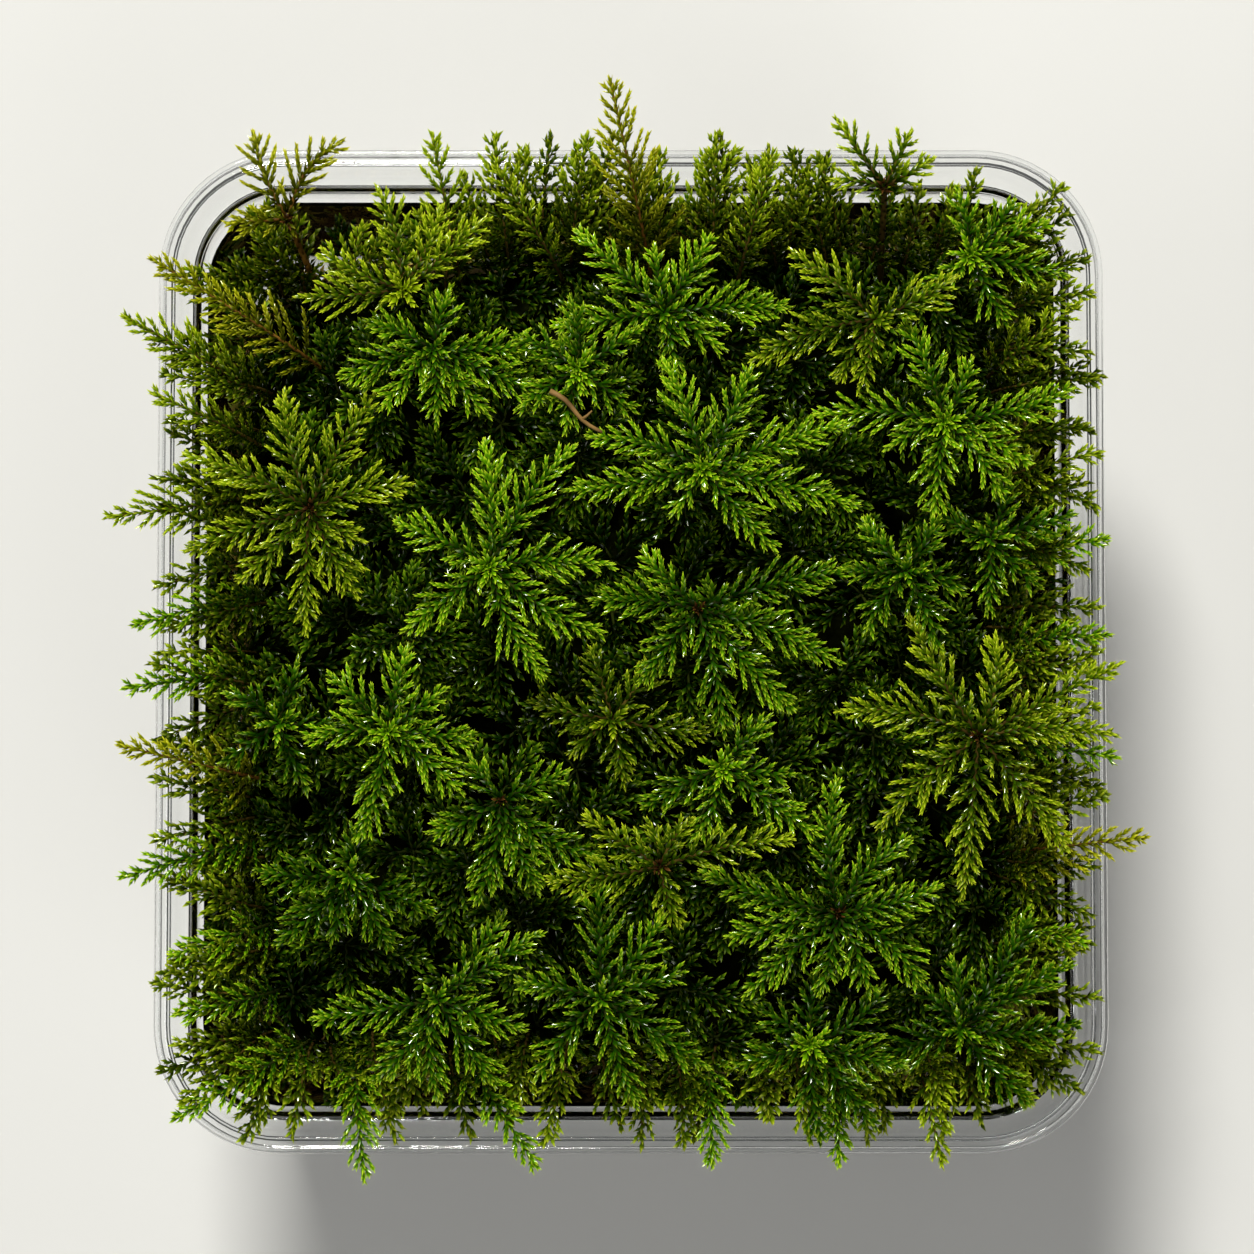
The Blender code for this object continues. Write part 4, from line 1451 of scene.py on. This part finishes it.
@dataclass
class RimFringe:
    """The small shoots all round the edge, which lean out between the large fronds towards the rim.

    Each stands inside the wall, rises over the rim and ends on it or just inside it. Tip_insets gives how far
    in from the tray's edge the tips are at the least and at the most, for the right, back, left and front
    side. In the corner that shows the bare wall, left of and behind bare_corner, they stand further in.
    Between the two ends of full_back they are twice as dense, and reach further out.
    """

    ground: Ground
    step: float = 3.6
    corner_turns: tuple[float, ...] = (18.0, 45.0, 72.0)
    foot_inset: float = 12.5
    foot_spread: float = 3
    foot_shift: float = 1.5
    root_depth: float = 0.4
    low_foot: float = 7.5
    tip_insets: tuple[Span, ...] = ((0.8, 4.4), (2.5, 7.5), (0.0, 3.4), (1.6, 6.0))
    tip_shift: float = 4.5
    over_rim: Span = (1.4, 4.6)
    shoulder_rise: float = 1.3
    neck_back: float = 0.5
    neck_lift: float = 1.6
    bare_corner: Span = (-20.0, 48.0)
    bare_inset: float = 4.5
    full_back: Span = (-18.0, 27.0)
    full_back_gain: float = 3.6
    base_youth: float = 0.1
    tip_youth: Span = (0.4, 0.8)
    width: Reach = blade((0.0, 0.4, 0.7, 1.0), (1.0, 2.5, 2.1, 0.4))

    def _places(self) -> list[tuple[Array, Array]]:
        """Goes round the tray's edge.

        Returns:
            Each shoot's place on the edge, and the direction out of the tray there.
        """
        half_x, half_y, radius = TRAY_WIDTH / 2, TRAY_LENGTH / 2, TRAY_CORNER_RADIUS
        places = []
        for sx, sy, quarter in ((1, 1, 0), (-1, 1, 1), (-1, -1, 2), (1, -1, 3)):
            centre = np.array([sx * (half_x - radius), sy * (half_y - radius), 0.0])
            for turn in self.corner_turns:
                out = way(90 * quarter + turn)
                places.append((centre + out * radius, out))
        for sx in (1, -1):
            for y in np.arange(-half_y + radius, half_y - radius, self.step):
                places.append((np.array([sx * half_x, y, 0.0]), np.array([sx, 0.0, 0.0])))
        for sy in (1, -1):
            for x in np.arange(-half_x + radius, half_x - radius, self.step):
                places.append((np.array([x, sy * half_y, 0.0]), np.array([0.0, sy, 0.0])))
        for x in np.arange(*self.full_back, self.step):
            places.append((np.array([x + self.step / 2, half_y, 0.0]), np.array([0.0, 1.0, 0.0])))
        return places

    def _ends(self, edge: Array, out: Array, rng: np.random.Generator) -> tuple[Array, Array]:
        """Places the two ends of one shoot.

        Args:
            edge: The place on the tray's edge.
            out: The direction out of the tray there.
            rng: The fringe's chance.

        Returns:
            Its foot and its tip.
        """
        along = np.cross(UP, out)
        bare = edge[0] < self.bare_corner[0] and edge[1] > self.bare_corner[1]
        inwards = self.bare_inset if bare else 0.0
        foot_in = self.foot_inset + inwards + rng.uniform(0, self.foot_spread)
        foot = edge - out * foot_in + along * rng.uniform(-self.foot_shift, self.foot_shift)
        side = round(math.degrees(math.atan2(out[1], out[0])) / 90) % 4
        tip = edge - out * (inwards + rng.uniform(*self.tip_insets[side]))
        if out[1] > 0.9 and self.full_back[0] < edge[0] < self.full_back[1]:
            tip = tip + out * self.full_back_gain
        tip = tip + along * rng.uniform(-self.tip_shift, self.tip_shift)
        tip[2] = TRAY_HEIGHT + rng.uniform(*self.over_rim)
        ground = self.ground.height(foot[0], foot[1])
        foot[2] = TRAY_HEIGHT - self.low_foot if ground is None else ground - self.root_depth
        return foot, tip

    def _grow_shoot(self, foliage: Foliage, edge: Array, out: Array) -> None:
        """Adds one leaning shoot.

        Args:
            foliage: What it is added to.
            edge: Its place on the tray's edge.
            out: The direction out of the tray there.
        """
        foot, tip = self._ends(edge, out, foliage.rng)
        shoulder = foot + UP * (tip[2] - foot[2]) * self.shoulder_rise
        neck = tip - (tip - foot) * (LEVEL * self.neck_back) + UP * self.neck_lift
        path = arched(foot, shoulder, neck, tip, 9)
        youth = (self.base_youth, foliage.rng.uniform(*self.tip_youth))
        Branch(path, self.width, youth, FRINGE_HABIT).grow(foliage)

    def build(self, leaves: bpy.types.Material, twigs: bpy.types.Material) -> None:
        """Makes the fringe as one piece.

        Args:
            leaves: The leaves' material.
            twigs: The twigs' material.
        """
        foliage = Foliage(FRINGE_SEED)
        for edge, out in self._places():
            self._grow_shoot(foliage, edge, out)
        piece = foliage.build("rim_fringe", [leaves, twigs])
        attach(piece, ROOT)


@dataclass
class OldGrowth:
    """The brown cushion of packed stems under the shoots.

    Stems and old branchlets lie on its sides, where the clear wall shows them. The branchlets turn
    from brown to green towards the light. Slants are how far these lean to the side: a share of a
    stem's rise, and degrees off the upright for a branchlet. The greenings are how fast the leaves get
    younger with the height.
    """

    ground: Ground
    lump: float = 1.3
    lump_scale: float = 0.35
    lump_noise: tuple[float, float, int] = (0.6, 2.0, 4)
    painted_light_slope: float = 0.6
    stem_count: int = 150
    stem_reach: Span = (14.0, 36.0)
    stem_slant: float = 0.34
    stem_radii: Span = (0.36, 0.22)
    stem_off: Span = (0.15, 0.45)
    stem_waves: Span = (0.6, 2.0)
    stem_roughness: float = 0.12
    stem_greening: float = 0.5
    stem_tip_gain: float = 0.2
    branchlet_count: int = 470
    branchlet_reach: Span = (6.5, 11.5)
    branchlet_slant: float = 48.0
    branchlet_off: float = 0.2
    branchlet_tip_off: Span = (0.5, 1.0)
    height_spread: float = 0.14
    height_power: float = 1.4
    base_greening: float = 0.6
    tip_greening: Span = (0.2, 1.2)
    width: Reach = blade((0.0, 0.35, 0.7, 1.0), (1.4, 2.8, 2.0, 0.4))
    lowest: float = 2.2
    highest: float = 49.0
    perimeter: float = 2 * (TRAY_WIDTH + TRAY_LENGTH)

    def _build_bed(self, top: bpy.types.Material, side: bpy.types.Material) -> bpy.types.Object:
        """Makes the cushion itself, finer and rougher than its node and just inside it.

        Args:
            top: The material of its top, darkened as painted shade.
            side: The material of its sides, lightened as painted light.

        Returns:
            The cushion.
        """
        bm = bmesh.new()
        bm.from_mesh(frame["nodes"]["old_growth"].data)
        bmesh.ops.remove_doubles(bm, verts=bm.verts, dist=SAME_LEVEL * MM)
        bmesh.ops.triangulate(bm, faces=bm.faces)
        for _ in range(2):
            bmesh.ops.subdivide_edges(bm, edges=bm.edges, cuts=1, use_grid_fill=True)
        bm.normal_update()
        # Painted light and shade: the steep sides take the lighter material, the flat top the darker one.
        for face in bm.faces:
            face.material_index = int(abs(face.normal.z) < self.painted_light_slope)
        for vert in bm.verts:
            depth = 0.5 + 0.5 * noise.fractal(vert.co / MM * self.lump_scale, *self.lump_noise)
            vert.co -= vert.normal * self.lump * max(0.0, depth) * MM
        mesh = bpy.data.meshes.new("old_growth_bed")
        bm.to_mesh(mesh)
        bm.free()
        mesh.materials.append(top)
        mesh.materials.append(side)
        bed = linked("old_growth_bed", mesh)
        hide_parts("old_growth")
        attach(bed, ROOT)
        return bed

    def _on_edge(self, at: float) -> Span:
        """Finds a place on the tray's edge.

        Args:
            at: How far round the tray it is from the front left corner.

        Returns:
            Its x and y.
        """
        half_x, half_y = TRAY_WIDTH / 2, TRAY_LENGTH / 2
        at %= self.perimeter
        if at < TRAY_WIDTH:
            return at - half_x, -half_y
        if at < TRAY_WIDTH + TRAY_LENGTH:
            return half_x, at - TRAY_WIDTH - half_y
        if at < 2 * TRAY_WIDTH + TRAY_LENGTH:
            return 3 * half_x + TRAY_LENGTH - at, half_y
        return -half_x, 2 * TRAY_WIDTH + 3 * half_y - at

    def _side_path(self, start: float, level: float, way_round: float, rise: float) -> Array | None:
        """Lays a path on the cushion's side.

        Args:
            start: Where it starts, as a distance round the tray's edge.
            level: The height where it starts.
            way_round: How far it goes round the tray.
            rise: How far it goes up.

        Returns:
            Its places and the outward directions there, in rows of six, or None where it leaves the side.
        """
        found = []
        for share in np.linspace(0, 1, 8):
            height = level + rise * share
            spot = self.ground.side(*self._on_edge(start + way_round * share), height)
            if spot is None or not self.lowest < height < self.highest:
                return None
            found.append(np.concatenate(spot))
        return np.array(found)

    def _grow_stem(self, foliage: Foliage) -> None:
        """Adds one bare lower stem, more or less upright, where it finds room.

        Args:
            foliage: What it is added to.
        """
        rng = foliage.rng
        rise = rng.uniform(*self.stem_reach)
        level = rng.uniform(self.lowest, self.highest - rise)
        start = rng.uniform(0, self.perimeter)
        spots = self._side_path(start, level, rise * rng.normal(0, self.stem_slant), rise)
        if spots is None:
            return
        waves = np.linspace(0, 1, len(spots)) * math.pi * rng.uniform(*self.stem_waves)
        off = self.stem_off[0] + self.stem_off[1] * np.sin(waves) ** 2
        path = spots[:, :3] + spots[:, 3:] * off[:, None]
        path = path + rng.normal(0, self.stem_roughness, (len(spots), 3))
        foliage.add_tube(path, self.stem_radii, 6)
        youth = self.stem_greening * level / TRAY_HEIGHT
        ages = (youth, youth + self.stem_tip_gain)
        foliage.clothe(path, spots[0, 3:], OLD_LEAF, ages, self.stem_radii[0])

    def _grow_branchlet(self, foliage: Foliage) -> None:
        """Adds one old branchlet that is pressed against the wall, where it finds room.

        Args:
            foliage: What it is added to.
        """
        rng = foliage.rng
        slant = math.radians(rng.normal(0, self.branchlet_slant))
        length = rng.uniform(*self.branchlet_reach)
        rise = length * math.cos(slant) * rng.choice([1, 1, -1])
        level = rng.uniform(self.lowest, self.highest)
        spots = self._side_path(rng.uniform(0, self.perimeter), level, length * math.sin(slant), rise)
        if spots is None:
            return
        off = np.linspace(self.branchlet_off, rng.uniform(*self.branchlet_tip_off), len(spots))[:, None]
        path = spots[:, :3] + spots[:, 3:] * off
        share = np.clip(level / TRAY_HEIGHT + rng.normal(0, self.height_spread), 0, 1)
        high = float(share) ** self.height_power
        tip = self.tip_greening[0] + self.tip_greening[1] * high
        youth = (self.base_greening * high, min(1.0, tip))
        Branch(path, self.width, youth, OLD_HABIT, spots[4, 3:]).grow(foliage)

    def build(self, groups: Groups) -> None:
        """Makes the cushion, and the stems and branchlets on its sides.

        Args:
            groups: The shared node groups.
        """
        self._build_bed(BED_TOP_SHADE_FINISH.material(groups), BED_SIDE_LIGHT_FINISH.material(groups))
        materials = [OLD_LEAF_LIGHTENED_FINISH.material(groups), OLD_STEM_LIGHTENED_FINISH.material(groups)]
        stems, branchlets = Foliage(STEM_SEED), Foliage(BRANCHLET_SEED)
        for _ in range(self.stem_count):
            self._grow_stem(stems)
        for _ in range(self.branchlet_count):
            self._grow_branchlet(branchlets)
        for name, foliage in (("packed_stems", stems), ("pressed_branchlets", branchlets)):
            piece = foliage.build(name, materials)
            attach(piece, ROOT)


@dataclass
class DeadTwig:
    """The bare brown twig with one spur that lies on the moss.

    Bow is how far its middle is up, wave how far it winds and wave_turns how fast. The spur's points are
    measured from the twig's sixth point.
    """

    start: tuple[float, float, float] = (-9.9, 30.6, 70.6)
    end: tuple[float, float, float] = (-3.4, 25.4, 69.4)
    bow: float = 0.5
    wave: tuple[float, float, float] = (0.25, 0.2, 0.0)
    wave_turns: float = 7
    radii: Span = (0.34, 0.2)
    spur: tuple[tuple[float, float, float], ...] = ((0.0, 0.0, 0.0), (0.8, 0.5, 0.35), (1.3, 1.0, 0.5))
    spur_radii: Span = (0.2, 0.1)

    def build(self, material: bpy.types.Material) -> None:
        """Makes the twig.

        Args:
            material: Its material.
        """
        foliage = Foliage(DEAD_TWIG_SEED)
        shares = np.linspace(0, 1, 9)[:, None]
        first, last = np.array(self.start), np.array(self.end)
        path = first + (last - first) * shares + UP * self.bow * np.sin(shares * math.pi)
        path = path + np.array(self.wave) * np.sin(shares * self.wave_turns)
        foliage.add_tube(path, self.radii, 7)
        foliage.add_tube(path[5] + np.array(self.spur), self.spur_radii, 6)
        piece = foliage.build("dead_twig", [material, material])
        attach(piece, ROOT)


# The tray


@dataclass
class ClearTray:
    """The clear tray, on the same profile as its node but with finer corners and bends.

    Each point of the profile is how far in from the outer edge and how far below the rim's top it is.
    """

    profile: tuple[Span, ...] = (
        (0.0, 2.6), (0.0, 0.45), (0.12, 0.13), (0.45, 0.0), (0.8, 0.12), (1.1, 0.4),
        (1.45, 0.32), (1.8, 0.05), (2.05, 0.12), (2.3, 0.5), (2.9, 1.9), (3.6, 3.2),
        (3.9, 3.46), (4.3, 3.5), (4.5, 3.8), (5.0, 8.0), (5.2, 8.3), (5.6, 8.4),
        (5.75, 8.8), (8.6, 51.6), (8.9, 52.8), (9.6, 53.6), (10.4, 54.15), (11.5, 54.4),
    )
    corner_steps: int = 14
    least_radius: float = 3.5
    least_mitre_cosine: float = 0.75
    sharp_degrees: float = 60

    def _outline(self, inset: float, z: float) -> Array:
        """Lays a ring round the tray.

        Args:
            inset: How far in from the outer edge it is.
            z: How high it is.

        Returns:
            Its points.
        """
        radius = max(TRAY_CORNER_RADIUS - inset, self.least_radius)
        half = np.array([TRAY_WIDTH / 2 - inset - radius, TRAY_LENGTH / 2 - inset - radius])
        ring = []
        for quarter, signs in enumerate(((1, 1), (-1, 1), (-1, -1), (1, -1))):
            angles = np.radians(90 * (quarter + np.arange(self.corner_steps + 1) / self.corner_steps))
            arc = np.stack([np.cos(angles), np.sin(angles)], axis=1) * radius + half * signs
            ring.append(np.column_stack([arc, np.full(len(arc), z)]))
        return np.concatenate(ring)

    def _under_profile(self) -> list[Span]:
        """Moves the profile out by the skin's thickness.

        Returns:
            The profile of the skin's lower and outer face.
        """
        points = [Vector(p) for p in self.profile]
        under = [Vector((TRAY_WALL, points[0].y))]
        for before, point, after in zip(points, points[1:], points[2:]):
            along = (after - before).normalized()
            normal = Vector((-along.y, along.x))
            edge = (point - before).normalized()
            stretch = 1 / max(self.least_mitre_cosine, normal.dot(Vector((-edge.y, edge.x))))
            under.append(point + normal * TRAY_WALL * stretch)
        under.append(Vector((points[-1].x, TRAY_HEIGHT)))
        return [(p.x, min(p.y, TRAY_HEIGHT)) for p in under]

    def build(self, material: bpy.types.Material) -> bpy.types.Object:
        """Makes the tray and puts it in its node's place.

        Args:
            material: The clear plastic.

        Returns:
            The tray.
        """
        bm = bmesh.new()
        rings = []
        for inset, depth in (*reversed(self._under_profile()), *self.profile):
            rings.append([bm.verts.new(point * MM) for point in self._outline(inset, TRAY_HEIGHT - depth)])
        count = len(rings[0])
        for lower, upper in zip(rings, rings[1:]):
            for i in range(count):
                j = (i + 1) % count
                bm.faces.new((lower[i], lower[j], upper[j], upper[i]))
        bm.faces.new(rings[0][::-1])
        bm.faces.new(rings[-1])
        bmesh.ops.recalc_face_normals(bm, faces=bm.faces)
        mesh = bpy.data.meshes.new("clear_tray_shell")
        bm.to_mesh(mesh)
        bm.free()
        mesh.materials.append(material)
        mesh.shade_smooth()
        mesh.set_sharp_from_angle(angle=math.radians(self.sharp_degrees))
        tray = linked("clear_tray_shell", mesh)
        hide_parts("clear_tray")
        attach(tray, ROOT)
        return tray


# The studio


@dataclass(frozen=True)
class SoftBox:
    """A soft area lamp: where it stands, how wide it is, its power in watts and its colour."""

    name: str
    place_m: tuple[float, float, float]
    size_m: float
    power: float
    color: Color = (1.0, 1.0, 1.0)


@dataclass
class Studio:
    """The floor, the lamps and the camera."""

    floor_size_m: float = 6.0
    sky: float = 0.10
    tilt_degrees: float = 3.3
    camera_height: float = 440.0
    lens: float = 100.0
    sensor: float = 36.0
    nearest_m: float = 0.01
    target: tuple[float, float, float] = (-0.5, 2.6, 55.0)
    lamps: tuple[SoftBox, ...] = (
        SoftBox("key", (-0.25, 1.00, 1.25), 0.40, 34.0, (1.0, 0.985, 0.94)),
        SoftBox("fill", (0.70, -0.90, 1.00), 0.90, 4.5, (1.0, 0.99, 0.97)),
        SoftBox("side", (-1.10, -0.20, 0.70), 0.60, 3.5),
        SoftBox("low_front", (0.45, -1.30, 0.28), 0.70, 5.5, (1.0, 0.99, 0.97)),
    )

    def _build_floor(self) -> None:
        """Makes the plain pale floor."""
        half = self.floor_size_m / 2
        corners = [(-half, -half, 0), (half, -half, 0), (half, half, 0), (-half, half, 0)]
        mesh = bpy.data.meshes.new("studio_floor")
        mesh.from_pydata(corners, [], [(0, 1, 2, 3)])
        mesh.materials.append(FLOOR_FINISH.material())
        floor = linked("studio_floor", mesh)

    def _build_lamps(self) -> None:
        """Makes the soft boxes, all turned to the clump, and an even pale sky."""
        for box in self.lamps:
            data = bpy.data.lights.new(box.name, "AREA")
            data.size = box.size_m
            data.energy = box.power
            data.color = box.color
            lamp = linked(box.name, data)
            lamp.location = box.place_m
            aim = Vector((0, 0, TRAY_HEIGHT * MM)) - Vector(box.place_m)
            lamp.rotation_euler = aim.to_track_quat("-Z", "Y").to_euler()
        world = bpy.data.worlds.new("studio")
        world.use_nodes = True
        sky = world.node_tree.nodes["Background"]
        sky.inputs["Color"].default_value = (1.0, 1.0, 1.0, 1.0)
        sky.inputs["Strength"].default_value = self.sky
        bpy.context.scene.world = world
        bpy.context.scene.view_settings.view_transform = "Standard"

    def _build_camera(self) -> None:
        """Makes the camera, almost straight above and a little to the front."""
        data = bpy.data.cameras.new("camera")
        data.lens = self.lens
        data.sensor_width = self.sensor
        data.clip_start = self.nearest_m
        camera = linked("camera", data)
        tilt = math.radians(self.tilt_degrees)
        back = Vector((0, -math.sin(tilt), math.cos(tilt)))
        camera.location = (Vector(self.target) + back * self.camera_height) * MM
        camera.rotation_euler = (tilt, 0, 0)
        bpy.context.scene.camera = camera

    def build(self) -> None:
        """Makes the whole studio."""
        self._build_floor()
        self._build_lamps()
        self._build_camera()


def centre_of(number: int) -> Centre:
    """The centre of a star by its number."""
    return next((centre for centre, numbers in CENTRES.items() if number in numbers), Centre.PLAIN)


def main() -> None:
    """Builds every piece in order."""
    logging.basicConfig(level=logging.INFO, format="%(name)s: %(message)s")
    groups = Groups()
    leaves = {tint: finish.material(groups) for tint, finish in LEAF_FINISHES.items()}
    twigs = {tint: finish.material(groups) for tint, finish in TWIG_FINISHES.items()}
    shade, rim = SHADE_FINISH.material(groups), RIM_FINISH.material(groups)
    withered = WITHERED_FINISH.material(groups)
    Studio().build()
    ClearTray().build(PLASTIC_FINISH.material(groups))
    ground = Ground()
    OldGrowth(ground).build(groups)
    Undergrowth(ground).build(shade, twigs[Tint.GREEN])
    RimFringe(ground).build(rim, twigs[Tint.OLIVE])
    for node in sorted(frame["nodes"]):
        if node.startswith("star_shoot"):
            number, tint = int(node[-2:]), Tint(slot_of(node))
            shoot = StarShoot(node, centre_of(number), VIGOURS_AND_PAINTED_LIGHT.get(number, 1.0))
            shoot.build(number, [leaves[tint], twigs[tint], withered])
        elif node.startswith("edge_frond"):
            number, tint = int(node[-2:]), Tint(slot_of(node))
            EdgeFrond(node).build(number, leaves[tint], twigs[tint])
    DeadTwig().build(DEAD_TWIG_FINISH.material(groups))


if __name__ == "__main__":
    main()
